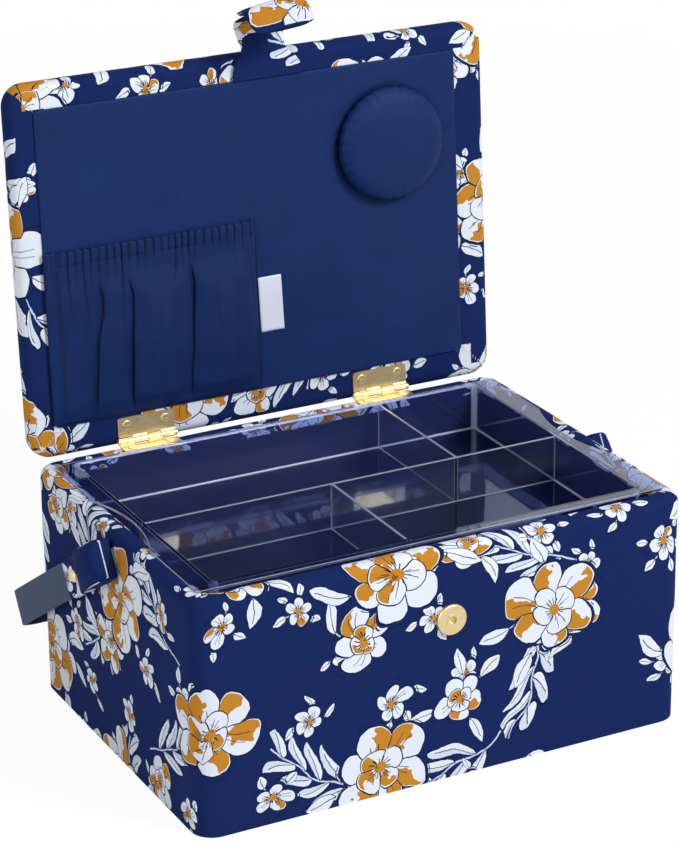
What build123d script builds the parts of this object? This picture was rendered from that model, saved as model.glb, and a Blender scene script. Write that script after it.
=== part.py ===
from build123d import *
import math
import os

# Sewing box: cloth-covered board box with a padded lid, a clear lift-out tray and a carrying handle.
# Millimetres. Origin at the middle of the footprint, +X to the right of the front, +Y to the back, +Z up.
# The lid is drawn open, the tray seated and the handle laid back.

# Box body
box_width = 325.0
box_depth = 235.0
rim_height = 149.0
corner_radius = 14.0
rim_rounding = 6.0
wall_thickness = 14.0
opening_corner_radius = 6.0
cloth_thickness = 0.8
lining_thickness = 0.8
inner_wadding_thickness = 1.2
rim_wadding_thickness = 1.2
board_edge_rounding = 4.0
cover_turn_in = 6.0
base_board_thickness = 6.0
floor_pad_thickness = 2.5
floor_pad_gap = 0.3

# Lid
lid_thickness = 17.0
lid_edge_rounding = 7.0
lid_board_thickness = 9.2
lid_cover_turn_in = 30.0
lid_open_angle = 93.6
lid_closing_gap = 5.0

# Lining panel on the lid's inner face, with its margins to the lid's edges
panel_left_margin = 15.5
panel_right_margin = 22.5
panel_back_margin = 20.0
panel_front_margin = 15.5
panel_thickness = 1.5
panel_corner_radius = 3.0

# Hinges, both alike
hinge_center_x = -3.9
hinge_spacing = 165.2
hinge_width = 38.5
knuckle_count = 4
knuckle_radius = 2.2
knuckle_leaf_overlap = 0.15
knuckle_gap = 0.3
pin_radius = 1.1
pin_running_clearance = 0.05
pin_seat_clearance = 0.01
pin_head_radius = 1.9
pin_head_height = 0.6
pin_inset = 3.15
leaf_thickness = 1.2
leaf_corner_radius = 2.0
upper_leaf_panel_gap = 1.5
lower_leaf_edge_gap = 0.7
leaf_knuckle_clearance = 0.35
leaf_web_overlap = 0.5
screw_spacing = 26.0
upper_screw_edge_distance = 5.0
lower_screw_edge_distance = 3.2
screw_head_radius = 3.0
screw_head_height = 0.7
screw_shank_radius = 1.3
screw_hole_clearance = 0.2
screw_depth = 8.0
screw_tip_length = 1.5
screw_tip_radius = 0.3
screw_slot_width = 0.5
screw_end_gap = 0.5

# Lift-out tray
tray_side_gap = 5.5
tray_front_gap = 4.5
tray_back_gap = 1.5
tray_depth = 31.0
tray_wall = 2.0
tray_flange_thickness = 1.6
tray_flange_seat = 6.5
tray_lip_seat = 1.5
tray_back_lip_gap = 1.0
tray_corner_radius = 5.0
flange_corner_radius = 3.0
tray_foot_rounding = 1.2
divider_thickness = 1.8
divider_drop = 1.6
rear_divider_x = 70.5
front_divider_x = -16.0
notch_width = 84.0
notch_depth = 8.5

# Snap on the front
snap_x = 0.5
snap_drop = 45.1
snap_plate_radius = 9.75
snap_plate_height = 2.6
snap_plate_shell = 0.6
snap_hole_radius = 2.6
snap_hole_rim = 1.1
snap_magnet_clearance = 0.1
snap_prong_spacing = 9.0
snap_prong_width = 3.0
snap_prong_thickness = 0.7
snap_prong_fold = 3.2
snap_prong_clearance = 0.2
snap_prong_cut_margin = 0.5
snap_washer_radius = 9.0
snap_washer_clearance = 0.2
snap_washer_thickness = 0.5
snap_disc_radius = 7.5
snap_disc_height = 1.8
snap_nub_radius = 2.1
snap_nub_height = 1.3
snap_closing_gap = 0.3
snap_disc_rounding = 0.72
snap_nub_rounding = 0.4
strap_washer_edge = 1
strap_washer_thickness = 0.55
strap_washer_clearance = 0.1
strap_stem_clearance = 0.05

# Closing strap, measured from where it leaves the lid's edge: (forward, up)
strap_x = 5.0
strap_width = 40.0
strap_base_width = 44.0
strap_thickness = 3.2
strap_joint_gap = 0.3
strap_exit_gap = 1.5
strap_rise_via = (-2.2, 12.0)
strap_rise_end = (2.5, 23.5)
strap_fold = (18.0, 33.0)
strap_tip_end = (36.0, 24.0)
strap_tip_corner_radius = 6.0

# Pocket on the lining panel; folds are counted from its left and low edges
pocket_side_wrap = 1.0
pocket_width = 142.5
pocket_low_gap = 2.0
pocket_length = 109.0
hem_length = 8.5
hem_height = 1.6
elastic_width = 5.5
elastic_thickness = 0.7
elastic_end_inset = 3.0
pocket_cloth = 0.6
elastic_clearance = 0.05
fold_levels = (0.0, 12.0, 40.0, 74.0, 92.0)
fold_shade_x = (29.0, 30.0, 32.0, 38.0, 34.0)
fold_left_x = (54.0, 54.5, 56.0, 58.0, 53.0)
fold_right_x = (94.0, 95.0, 98.0, 100.0, 97.0)
fold_swell = (0.8, 3.0, 4.0, 3.4, 0.9)
full_swell_span = 38.0
left_bay_swell_share = 0.5
pocket_edge_swell = 0.35

# Pincushion on the lining panel
cushion_side_distance = 49.5
cushion_front_distance = 53.0
cushion_radius = 36.5
cushion_height = 13.4
cushion_side_height = 3.6
cushion_seat_share = 0.94
cushion_crown_angles = (0, 20, 40, 60, 78)

# Bare label tab
label_gap = 0.7
label_climb = 53.5
label_width = 15.4
label_length = 36.0
label_thickness = 0.5
label_tilt = 2.0

# Carrying handle, laid back; lengths run from the pivot along the strap
pivot_drop = 19.0
handle_droop = 32.0
handle_reach = 176.0
handle_strap_width = 23.0
handle_strap_thickness = 2.5
handle_arm_gap = 5.0
handle_bend_radius = 12.0
strap_in_tab = 30.0
tab_length = 62.0
tab_nose = 13.0
tab_width = 25.0
tab_corner_radius = 6.0
tab_loop_end = 24.0
tab_flat_start = 42.0
tab_wall_gap = 0.3
tab_loop_thickness = 10.5
tab_ply = 1.3
pivot_radius = 3.0
pivot_head_radius = 6.5
pivot_head_thickness = 1.6
pivot_head_reach = 4.6
pivot_flange_radius = 8.0
pivot_flange_thickness = 1.0
pivot_running_clearance = 0.06
pivot_head_clearance = 0.4
washer_radius = 9.0
washer_thickness = 1.0
rivet_reach = 46.0
rivet_radius = 1.5
rivet_cap_radius = 3.8
rivet_cap_height = 1.6
rivet_flange_radius = 3.4
rivet_flange_thickness = 0.5

# Worked out from the sizes above
opening_width = box_width - 2 * wall_thickness
opening_depth = box_depth - 2 * wall_thickness
core_top = rim_height - cloth_thickness
board_top = core_top - rim_wadding_thickness
board_bottom = cloth_thickness
floor_top = board_bottom + base_board_thickness
board_inner_width = opening_width + 2 * (lining_thickness + inner_wadding_thickness)
board_inner_depth = opening_depth + 2 * (lining_thickness + inner_wadding_thickness)
turn_in_height = rim_height - cover_turn_in
side_x = box_width / 2
front_y = -box_depth / 2
back_y = box_depth / 2
lid_width = box_width
lid_depth = box_depth
lid_corner_radius = corner_radius
lid_inner_z = rim_height + lid_closing_gap
pin_y = back_y - pin_inset
pin_z = lid_inner_z - (lid_closing_gap - leaf_thickness - knuckle_radius + knuckle_leaf_overlap)
pin_drop = lid_inner_z - pin_z
open_turn = math.radians(lid_open_angle)
open_cos = math.cos(open_turn)
open_sin = math.sin(open_turn)
lid_corner_y = pin_y + pin_inset * open_cos + pin_drop * open_sin
lid_corner_z = pin_z - pin_inset * open_sin + pin_drop * open_cos

panel_left = -lid_width / 2 + panel_left_margin
panel_right = lid_width / 2 - panel_right_margin
panel_low = panel_back_margin
panel_high = lid_depth - panel_front_margin
upper_leaf_reach = panel_low - upper_leaf_panel_gap
upper_screw_reach = upper_leaf_reach - upper_screw_edge_distance
lower_leaf_front = opening_depth / 2 + lower_leaf_edge_gap
lower_screw_y = lower_leaf_front + lower_screw_edge_distance
tray_outer_width = opening_width - 2 * tray_side_gap
tray_outer_depth = opening_depth - tray_front_gap - tray_back_gap
tray_center_y = (tray_front_gap - tray_back_gap) / 2
tray_inner_width = tray_outer_width - 2 * tray_wall
tray_inner_depth = tray_outer_depth - 2 * tray_wall
tray_flange_x = opening_width / 2 + tray_flange_seat
snap_z = rim_height - snap_drop
strap_exit_reach = lid_depth + strap_exit_gap
pocket_left = panel_left - pocket_side_wrap
pocket_right = pocket_left + pocket_width
pocket_low = panel_low + pocket_low_gap
hem_high = pocket_low + pocket_length
hem_low = hem_high - hem_length
cushion_x = panel_right - cushion_side_distance
cushion_reach = panel_high - cushion_front_distance
label_x = pocket_right + label_gap + label_width / 2
label_reach = pocket_low + label_climb
pivot_z = rim_height - pivot_drop
handle_arm_x = side_x + handle_arm_gap

# On the open lid: X stays, the second direction climbs from the back edge, the third points into the box
lid_face = Plane(origin=(0, lid_corner_y, lid_corner_z), x_dir=(1, 0, 0), z_dir=(0, -open_sin, -open_cos))

# On the handle: X stays, the second direction runs along the strap, the third across its width
droop = math.radians(handle_droop)
handle_frame = Plane(origin=(0, 0, pivot_z), x_dir=(1, 0, 0), z_dir=(0, math.sin(droop), math.cos(droop)))


# Building blocks
def slab(width, depth, radius, low, high):
    """Upright block with rounded corners between two heights."""
    return Pos(0, 0, low) * extrude(RectangleRounded(width, depth, radius), high - low)


def disc(radius, low, high):
    """Round plate or shaft along Z between two heights."""
    return Pos(0, 0, low) * extrude(Circle(radius), high - low)


def along_x(outline, low, high):
    """An outline in (Y, Z), drawn out along X."""
    return extrude(Plane.YZ.offset(low) * outline, high - low)


def shaft_x(y, z, radius, low, high):
    """A round shaft along X."""
    return along_x(Pos(y, z) * Circle(radius), low, high)


def shaft_y(x, z, radius, front, back):
    """A round shaft along Y."""
    turned = Plane(origin=(x, back, z), x_dir=(1, 0, 0), z_dir=(0, -1, 0))
    return turned * extrude(Circle(radius), back - front)


def mirrored(shape):
    """The same piece on the other side of the box."""
    return mirror(shape, about=Plane.YZ)


def group(solids):
    """Separate solids that share one node."""
    return Compound(children=list(solids))


# Wall shells
def ring(inset, inner_grow, top, rounding, low):
    """The padded wall all round, cut back by a skin on both faces."""
    outer = slab(box_width - 2 * inset, box_depth - 2 * inset, corner_radius - inset, low, top)
    hollow = slab(
        opening_width + 2 * inner_grow,
        opening_depth + 2 * inner_grow,
        opening_corner_radius + inner_grow,
        low - 1,
        top + 1,
    )
    wall = outer - hollow
    return fillet(wall.edges().group_by(Axis.Z)[-1], rounding)


def cover_core():
    """What the printed cloth is wrapped round."""
    return ring(cloth_thickness, lining_thickness, core_top, rim_rounding - cloth_thickness, 0)


def board_ring():
    return ring(
        cloth_thickness,
        lining_thickness + inner_wadding_thickness,
        board_top,
        board_edge_rounding,
        board_bottom,
    )


def hinge_centers():
    return [hinge_center_x + side * hinge_spacing / 2 for side in (-1, 1)]


def screw_offsets():
    return [-screw_spacing / 2, screw_spacing / 2]


def lower_screw_holes(radius):
    """Upright holes for the four screws in the rim."""
    top = rim_height + leaf_thickness + 1
    low = rim_height + leaf_thickness - screw_depth - screw_end_gap
    holes = []
    for center in hinge_centers():
        for offset in screw_offsets():
            holes.append(Pos(center + offset, lower_screw_y, 0) * disc(radius, low, top))
    return holes


def upper_screw_holes(radius):
    """Holes into the lid for the four upper screws, in the lid's own directions."""
    holes = []
    for center in hinge_centers():
        for offset in screw_offsets():
            hole = disc(radius, leaf_thickness - screw_depth - screw_end_gap, leaf_thickness + 1)
            holes.append(Pos(center + offset, upper_screw_reach, 0) * hole)
    return holes


def prong_cuts(clearance):
    """Slots through the front wall for the two prongs of the snap plate."""
    cuts = []
    for side in (-1, 1):
        x = snap_x + side * snap_prong_spacing / 2
        leg = Box(
            snap_prong_thickness + 2 * clearance,
            wall_thickness,
            snap_prong_width + 2 * clearance,
            align=(Align.CENTER, Align.MIN, Align.CENTER),
        )
        cuts.append(Pos(x, front_y - snap_prong_cut_margin, snap_z) * leg)
    return cuts


def pivot_cuts(radius):
    """Holes through the side walls for the handle's pivots."""
    low = opening_width / 2 - 1
    right = shaft_x(0, pivot_z, radius, low, side_x + 1)
    return [right, mirrored(right)]


def cut_all(shape, tools):
    for tool in tools:
        shape = shape - tool
    return shape


def walls():
    """Four boards: front and back hold the rounded corners, the sides stand between them."""
    holes = prong_cuts(snap_prong_clearance) + pivot_cuts(pivot_radius)
    holes = holes + lower_screw_holes(screw_shank_radius)
    shell = cut_all(board_ring(), holes)
    reach = box_width
    side_half = board_inner_depth / 2
    end = Box(reach * 2, box_depth, rim_height * 2, align=(Align.CENTER, Align.MIN, Align.CENTER))
    side = Box(reach, 2 * side_half, rim_height * 2, align=(Align.MIN, Align.CENTER, Align.CENTER))
    return {
        "wall_front": shell & (Pos(0, -side_half - box_depth, 0) * end),
        "wall_back": shell & (Pos(0, side_half, 0) * end),
        "wall_right": shell & side,
        "wall_left": shell & mirrored(side),
    }


def outer_cover():
    """Printed cloth over the outside, the rim and the top of the inner wall."""
    skin = ring(0, 0, rim_height, rim_rounding, 0) - cover_core()
    inner = slab(
        opening_width + 2 * lining_thickness,
        opening_depth + 2 * lining_thickness,
        opening_corner_radius + lining_thickness,
        -1,
        turn_in_height,
    )
    skin = skin - inner
    holes = prong_cuts(snap_prong_clearance) + pivot_cuts(pivot_radius)
    holes = holes + lower_screw_holes(screw_shank_radius)
    return cut_all(skin, holes)


def rim_wadding():
    """Wadding on the inner face of the boards and over their top edge."""
    below = slab(box_width * 2, box_depth * 2, corner_radius, -1, floor_top)
    wadding = cover_core() - board_ring() - below
    washer_pocket = shaft_y(
        snap_x,
        snap_z,
        snap_washer_radius + snap_washer_clearance,
        front_y + cloth_thickness,
        -opening_depth / 2 - lining_thickness,
    )
    flange_pocket = shaft_x(
        0,
        pivot_z,
        pivot_flange_radius + snap_washer_clearance,
        opening_width / 2 + lining_thickness,
        side_x - cloth_thickness,
    )
    tools = [washer_pocket, flange_pocket, mirrored(flange_pocket)]
    return cut_all(wadding, tools + lower_screw_holes(screw_shank_radius))


def inner_lining():
    """Plain lining cloth on the inner walls, from the floor up to the printed cloth."""
    outside = slab(
        opening_width + 2 * lining_thickness,
        opening_depth + 2 * lining_thickness,
        opening_corner_radius + lining_thickness,
        floor_top,
        turn_in_height,
    )
    inside = slab(opening_width, opening_depth, opening_corner_radius, floor_top - 1, turn_in_height + 1)
    return outside - inside


def base_board():
    return slab(
        board_inner_width,
        board_inner_depth,
        opening_corner_radius + lining_thickness + inner_wadding_thickness,
        board_bottom,
        floor_top,
    )


def base_cover():
    """Base cloth, on which the box stands."""
    return slab(
        box_width - 2 * cloth_thickness,
        box_depth - 2 * cloth_thickness,
        corner_radius - cloth_thickness,
        0,
        cloth_thickness,
    )


def floor_pad():
    pad = slab(
        opening_width - 2 * floor_pad_gap,
        opening_depth - 2 * floor_pad_gap,
        opening_corner_radius - floor_pad_gap,
        floor_top,
        floor_top + floor_pad_thickness,
    )
    return fillet(pad.edges().group_by(Axis.Z)[-1], floor_pad_thickness / 3)


# Front snap
def snap_plate():
    """Domed brass shell with the magnet inside and a hole for the strap's nub."""
    shell = disc(snap_plate_radius, 0, snap_plate_height)
    shell = fillet(shell.edges().group_by(Axis.Z)[-1], snap_plate_height * 0.45)
    cavity_radius = snap_plate_radius - snap_plate_shell
    cavity = disc(cavity_radius, snap_plate_shell, snap_plate_height - snap_plate_shell)
    cavity = fillet(cavity.edges().group_by(Axis.Z)[-1], snap_plate_height * 0.2)
    post = disc(snap_hole_radius + snap_plate_shell, 0, snap_plate_height)
    lip = disc(snap_hole_radius + snap_hole_rim, snap_plate_height - 0.2, snap_plate_height + 0.2)
    hole = disc(snap_hole_radius, snap_plate_shell, snap_plate_height + 1)
    return (shell - cavity) + post + lip - hole


def snap_magnet():
    clearance = snap_magnet_clearance
    outer = snap_plate_radius - snap_plate_shell - clearance
    inner = snap_hole_radius + snap_plate_shell + clearance
    low = snap_plate_shell + clearance
    high = snap_plate_height - snap_plate_shell - clearance
    body = disc(outer, low, high) - disc(inner, low - 1, high + 1)
    rounded = body.edges().filter_by(GeomType.CIRCLE).group_by(Axis.Z)[-1].sort_by(SortBy.RADIUS)[-1:]
    return fillet(rounded, snap_plate_height * 0.2)


def snap_prongs():
    """Two legs through the wall, with their ends folded over the washer."""
    depth = wall_thickness - lining_thickness - inner_wadding_thickness + snap_washer_thickness
    legs = []
    for side in (-1, 1):
        x = side * snap_prong_spacing / 2
        leg = Pos(x, 0, -depth) * Box(
            snap_prong_thickness,
            snap_prong_width,
            depth,
            align=(Align.CENTER, Align.CENTER, Align.MIN),
        )
        foot = Pos(x - side * snap_prong_thickness / 2, 0, -depth - snap_prong_thickness * 0.8) * Box(
            snap_prong_fold,
            snap_prong_width,
            snap_prong_thickness * 0.8,
            align=(Align.MIN if side > 0 else Align.MAX, Align.CENTER, Align.MIN),
        )
        legs.append(leg + foot)
    return legs


def snap_washer():
    top = -(wall_thickness - lining_thickness - inner_wadding_thickness)
    washer = disc(snap_washer_radius, top - snap_washer_thickness, top)
    for side in (-1, 1):
        slot = Box(
            snap_prong_thickness + snap_washer_clearance,
            snap_prong_width + snap_washer_clearance,
            4 * snap_washer_thickness,
        )
        washer = washer - Pos(side * snap_prong_spacing / 2, 0, top) * slot
    return washer


# Hinges
def knuckle_span(index):
    """Low and high X of one knuckle, from the hinge's middle."""
    pitch = hinge_width / knuckle_count
    low = -hinge_width / 2 + index * pitch
    return low + knuckle_gap / 2, low + pitch - knuckle_gap / 2


def knuckles(y, z, web, indexes, bore):
    """Barrels with their webs, bored for the pin."""
    parts = None
    for index in indexes:
        low, high = knuckle_span(index)
        piece = shaft_x(y, z, knuckle_radius, low, high) + along_x(web, low, high)
        piece = piece - shaft_x(y, z, bore, low - 1, high + 1)
        parts = piece if parts is None else parts + piece
    return parts


def lower_leaf():
    """Leaf on the rim; the barrel stands behind it."""
    top = rim_height + leaf_thickness
    edge = pin_y - knuckle_radius - leaf_knuckle_clearance
    plate = Box(
        hinge_width,
        edge - lower_leaf_front,
        leaf_thickness,
        align=(Align.CENTER, Align.MIN, Align.MIN),
    )
    plate = Pos(0, lower_leaf_front, rim_height) * plate
    plate = fillet(plate.edges().filter_by(Axis.Z).group_by(Axis.Y)[0], leaf_corner_radius)
    web = Polygon(
        (edge - leaf_web_overlap, rim_height),
        (pin_y, rim_height + 0.35),
        (pin_y, pin_z - knuckle_radius * 0.6),
        (pin_y - knuckle_radius * 0.8, pin_z - knuckle_radius * 0.55),
        (edge - leaf_web_overlap, top),
        align=None,
    )
    leaf = plate + knuckles(pin_y, pin_z, web, (0, 2), pin_radius + pin_seat_clearance)
    for offset in screw_offsets():
        hole = disc(screw_shank_radius + screw_hole_clearance, rim_height - 1, top + 1)
        leaf = leaf - Pos(offset, lower_screw_y, 0) * hole
    return leaf


def upper_leaf():
    """Leaf on the lid's inner face, in the lid's own directions."""
    edge = pin_inset + knuckle_radius + leaf_knuckle_clearance
    plate = Box(
        hinge_width,
        upper_leaf_reach - edge,
        leaf_thickness,
        align=(Align.CENTER, Align.MIN, Align.MIN),
    )
    plate = Pos(0, edge, 0) * plate
    plate = fillet(plate.edges().filter_by(Axis.Z).group_by(Axis.Y)[-1], leaf_corner_radius)
    web = Polygon(
        (edge + leaf_web_overlap, 0),
        (edge + leaf_web_overlap, leaf_thickness),
        (pin_inset + knuckle_radius * 0.8, leaf_thickness + leaf_web_overlap),
        (pin_inset, leaf_thickness),
        (pin_inset + knuckle_radius * 0.4, 0.15),
        align=None,
    )
    leaf = plate + knuckles(pin_inset, pin_drop, web, (1, 3), pin_radius + pin_running_clearance)
    for offset in screw_offsets():
        hole = disc(screw_shank_radius + screw_hole_clearance, -1, leaf_thickness + 1)
        leaf = leaf - Pos(offset, upper_screw_reach, 0) * hole
    return leaf


def hinge_pin():
    """Pin with a small head at each end."""
    half = hinge_width / 2
    pin = shaft_x(pin_y, pin_z, pin_radius, -half, half)
    for side in (-1, 1):
        low = half if side > 0 else -half - pin_head_height
        head = shaft_x(pin_y, pin_z, pin_head_radius, low, low + pin_head_height)
        pin = pin + head
    return pin


def screw():
    """Round-headed wood screw, head resting at height 0 and shank below."""
    shank = disc(screw_shank_radius, -screw_depth, 0.2)
    tip = Cone(
        screw_tip_radius,
        screw_shank_radius,
        screw_tip_length,
        align=(Align.CENTER, Align.CENTER, Align.MIN),
    )
    blank = disc(screw_shank_radius * 2, -screw_depth, -screw_depth + screw_tip_length)
    shank = shank - blank + Pos(0, 0, -screw_depth) * tip
    head = disc(screw_head_radius, 0, screw_head_height)
    head = fillet(head.edges().group_by(Axis.Z)[-1], screw_head_height * 0.7)
    slot_length = screw_head_radius * 1.1
    slots = Box(slot_length, screw_slot_width, screw_slot_width)
    slots = slots + Box(screw_slot_width, slot_length, screw_slot_width)
    return head + shank - Pos(0, 0, screw_head_height) * slots


def lower_screws():
    seat = rim_height + leaf_thickness
    placed = []
    for center in hinge_centers():
        for offset in screw_offsets():
            placed.append(Pos(center + offset, lower_screw_y, seat) * screw())
    return group(placed)


def upper_screws():
    placed = []
    for center in hinge_centers():
        for offset in screw_offsets():
            local = Pos(center + offset, upper_screw_reach, leaf_thickness) * screw()
            placed.append(lid_face * local)
    return group(placed)


# Lid, drawn in the lid's own directions: inner face at height 0, outer face below it
def lid_block(inset):
    """The padded lid, cut back by a skin all round."""
    block = slab(
        lid_width - 2 * inset,
        lid_depth - 2 * inset,
        lid_corner_radius - inset,
        -lid_thickness + inset,
        -inset,
    )
    ends = block.edges().group_by(Axis.Z)
    block = fillet(ends[0] + ends[-1], lid_edge_rounding - inset)
    return Pos(0, lid_depth / 2, 0) * block


def lid_board():
    board = lid_block(cloth_thickness) & lid_layer(-cloth_thickness - lid_board_thickness, 1)
    return lid_face * cut_all(board, upper_screw_holes(screw_shank_radius))


def lid_layer(low, high):
    return Pos(0, lid_depth / 2, 0) * slab(lid_width * 2, lid_depth * 2, lid_corner_radius, low, high)


def lid_padding():
    """Wadding on the lid's outer face, under the cloth."""
    layer = lid_layer(-lid_thickness, -cloth_thickness - lid_board_thickness)
    return lid_face * (lid_block(cloth_thickness) & layer)


def lid_recess(low, high, gap):
    """The middle of the inner face, inside the turned-in cloth."""
    inset = lid_cover_turn_in + gap
    block = slab(lid_width - 2 * inset, lid_depth - 2 * inset, panel_corner_radius, low, high)
    return Pos(0, lid_depth / 2, 0) * block


def lid_cover():
    """Printed cloth round the lid, turned in under the lining panel."""
    skin = lid_block(0) - lid_block(cloth_thickness) - lid_recess(-cloth_thickness - 0.1, 1, 0)
    return lid_face * cut_all(skin, upper_screw_holes(screw_shank_radius))


def lining_panel():
    """Cloth-covered card, filled out behind to the board."""
    width = panel_right - panel_left
    height = panel_high - panel_low
    panel = slab(width, height, panel_corner_radius, 0, panel_thickness)
    panel = fillet(panel.edges().group_by(Axis.Z)[-1], panel_thickness * 0.6)
    panel = Pos((panel_left + panel_right) / 2, (panel_low + panel_high) / 2, 0) * panel
    return lid_face * (panel + lid_recess(-cloth_thickness, 0.5, 0.5))


# Pincushion
def cushion_ring(radius, height):
    """A circle of three arcs, so the loft's seams run straight up."""
    points = []
    for turn in range(6):
        angle = math.radians(60 * turn)
        points.append((radius * math.cos(angle), radius * math.sin(angle)))
    arcs = [ThreePointArc(points[i], points[i + 1], points[(i + 2) % 6]) for i in (0, 2, 4)]
    return Plane.XY.offset(height) * make_face(Wire(arcs))


def pincushion():
    """Round cushion: drawn in where it is sewn down, fullest low on its side, softly crowned."""
    rings = [cushion_ring(cushion_radius * cushion_seat_share, 0)]
    for crown_angle in cushion_crown_angles:
        turn = math.radians(crown_angle)
        height = cushion_side_height + (cushion_height - cushion_side_height) * math.sin(turn)
        rings.append(cushion_ring(cushion_radius * math.cos(turn), height))
    cushion = loft(rings)
    return lid_face * (Pos(cushion_x, cushion_reach, panel_thickness) * cushion)


# Pocket
def pocket_section(reach, valleys, swell):
    """One level of the pocket: flat behind, one soft swell between each pair of folds in front."""
    stops = [pocket_left, *valleys, pocket_right]
    edges = [Line((pocket_left, 0), (pocket_left, pocket_edge_swell))]
    for low, high in zip(stops[:-1], stops[1:]):
        share = min(1.0, (high - low) / full_swell_span)
        if low == pocket_left:
            share = share * left_bay_swell_share
        middle = ((low + high) / 2, pocket_edge_swell + swell * share)
        edges.append(ThreePointArc((low, pocket_edge_swell), middle, (high, pocket_edge_swell)))
    edges.append(Line((pocket_right, pocket_edge_swell), (pocket_right, 0)))
    edges.append(Line((pocket_right, 0), (pocket_left, 0)))
    section = Plane(origin=(0, reach, panel_thickness), x_dir=(1, 0, 0), z_dir=(0, -1, 0))
    return section * make_face(Wire(edges))


def accessory_pocket():
    """Gathered cloth pocket: swelling folds below, closed by a gathered hem."""
    levels = []
    for index, climb in enumerate(fold_levels):
        folds = (fold_shade_x[index], fold_left_x[index], fold_right_x[index])
        valleys = [pocket_left + fold for fold in folds]
        levels.append(pocket_section(pocket_low + climb, valleys, fold_swell[index]))
    bag = loft(levels)
    width = pocket_right - pocket_left
    top_level = pocket_low + fold_levels[-1]
    throat = Box(
        width,
        hem_low - top_level,
        pocket_edge_swell + fold_swell[-1],
        align=(Align.MIN, Align.MIN, Align.MIN),
    )
    throat = Pos(pocket_left, top_level, panel_thickness) * throat
    hem = Box(width, hem_high - hem_low, hem_height, align=(Align.MIN, Align.MIN, Align.MIN))
    hem = fillet(hem.edges().filter_by(Axis.X).group_by(Axis.Z)[-1], hem_height * 0.4)
    hem = Pos(pocket_left, hem_low, panel_thickness) * hem
    return lid_face * (bag + throat + hem - elastic_strip(elastic_clearance))


def elastic_strip(clearance):
    """The elastic inside the hem."""
    strip = Box(
        pocket_right - pocket_left - 2 * elastic_end_inset + 2 * clearance,
        elastic_width + 2 * clearance,
        elastic_thickness + 2 * clearance,
    )
    return Pos(
        (pocket_left + pocket_right) / 2,
        (hem_low + hem_high) / 2,
        panel_thickness + pocket_cloth + elastic_thickness / 2,
    ) * strip


def label_tab():
    tab = Box(label_width, label_length, label_thickness, align=(Align.CENTER, Align.CENTER, Align.MIN))
    return lid_face * (Pos(label_x, label_reach, panel_thickness) * (Rot(0, 0, label_tilt) * tab))


# Closing strap
def strap_exit():
    """Where the strap leaves the lid's edge, in (Y, Z)."""
    half = strap_thickness / 2
    y = lid_corner_y - strap_exit_reach * open_cos - half * open_sin
    z = lid_corner_z + strap_exit_reach * open_sin - half * open_cos
    return y, z


def strap_point(offset):
    """A point given as (forward, up) from the strap's exit, in (Y, Z)."""
    y, z = strap_exit()
    return y - offset[0], z + offset[1]


def strap_base():
    """The end of the strap that is sewn flat to the lid."""
    end = strap_exit_reach - strap_thickness / 2 - strap_joint_gap
    upward = (Align.CENTER, Align.MIN, Align.MIN)
    base = Box(strap_base_width, end - panel_high, strap_thickness, align=upward)
    base = Pos(strap_x, panel_high, 0) * base
    return lid_face * fillet(base.edges().filter_by(Axis.Y).group_by(Axis.Z)[-1], strap_thickness * 0.3)


def strap_root():
    """The strap from the lid's edge up and over to its fold."""
    start = strap_point((0, 0))
    via = strap_point(strap_rise_via)
    rise = strap_point(strap_rise_end)
    fold = strap_point(strap_fold)
    first = ThreePointArc(start, via, rise)
    second = TangentArc(rise, fold, tangent=(first % 1))
    clear = 1 - (strap_thickness / 2 + strap_joint_gap) / second.length
    second = second.trim(0, clear)
    path = Plane.YZ * Wire([first, second])
    heading = first % 0
    across = Vector(0, heading.X, heading.Y)
    section_plane = Plane(origin=(0, *start), x_dir=(1, 0, 0), z_dir=across)
    section = section_plane * Rectangle(strap_width, strap_thickness)
    body = sweep(section, path)
    roll = shaft_x(start[0], start[1], strap_thickness / 2, -strap_width / 2, strap_width / 2)
    return Pos(strap_x, 0, 0) * (body + roll)


def tip_frame():
    """On the strap's tip: X stays, the second direction runs to the tip, the third is its inner side."""
    start = strap_point(strap_fold)
    end = strap_point(strap_tip_end)
    run = Vector(0, end[0] - start[0], end[1] - start[1]).normalized()
    inner = Vector(1, 0, 0).cross(run)
    return Plane(origin=(strap_x, *start), x_dir=(1, 0, 0), z_dir=inner)


def tip_length():
    return math.hypot(strap_tip_end[0] - strap_fold[0], strap_tip_end[1] - strap_fold[1])


def snap_reach():
    """How far along the tip its disc sits, so that it meets the front plate when the strap is wrapped."""
    fold_reach = math.hypot(*strap_fold)
    stack = snap_plate_height + snap_closing_gap + snap_disc_height + strap_thickness / 2
    exit_y = back_y - strap_exit_reach
    lean = math.asin((stack - (front_y - exit_y)) / fold_reach)
    fold_z = lid_inner_z - strap_thickness / 2 - fold_reach * math.cos(lean)
    return fold_z - snap_z


def strap_tip():
    """The strap from its fold to its end, with a washer pocket inside."""
    frame = tip_frame()
    length = tip_length()
    half = strap_thickness / 2
    body = Pos(0, length / 2, -half) * extrude(Rectangle(strap_width, length), strap_thickness)
    corners = body.edges().filter_by(Axis.Z).group_by(Axis.Y)[-1]
    body = fillet(corners, strap_tip_corner_radius)
    roll = shaft_x(0, 0, half, -strap_width / 2, strap_width / 2)
    washer_half = strap_washer_thickness / 2
    washer_room = washer_half + strap_washer_clearance
    pocket = disc(snap_disc_radius - strap_washer_edge + strap_washer_clearance, -washer_room, washer_room)
    stem = disc(snap_nub_radius + strap_stem_clearance, 0, half + 1)
    cut = Pos(snap_x - strap_x, snap_reach(), 0) * (pocket + stem)
    return frame * (body + roll - cut)


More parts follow.
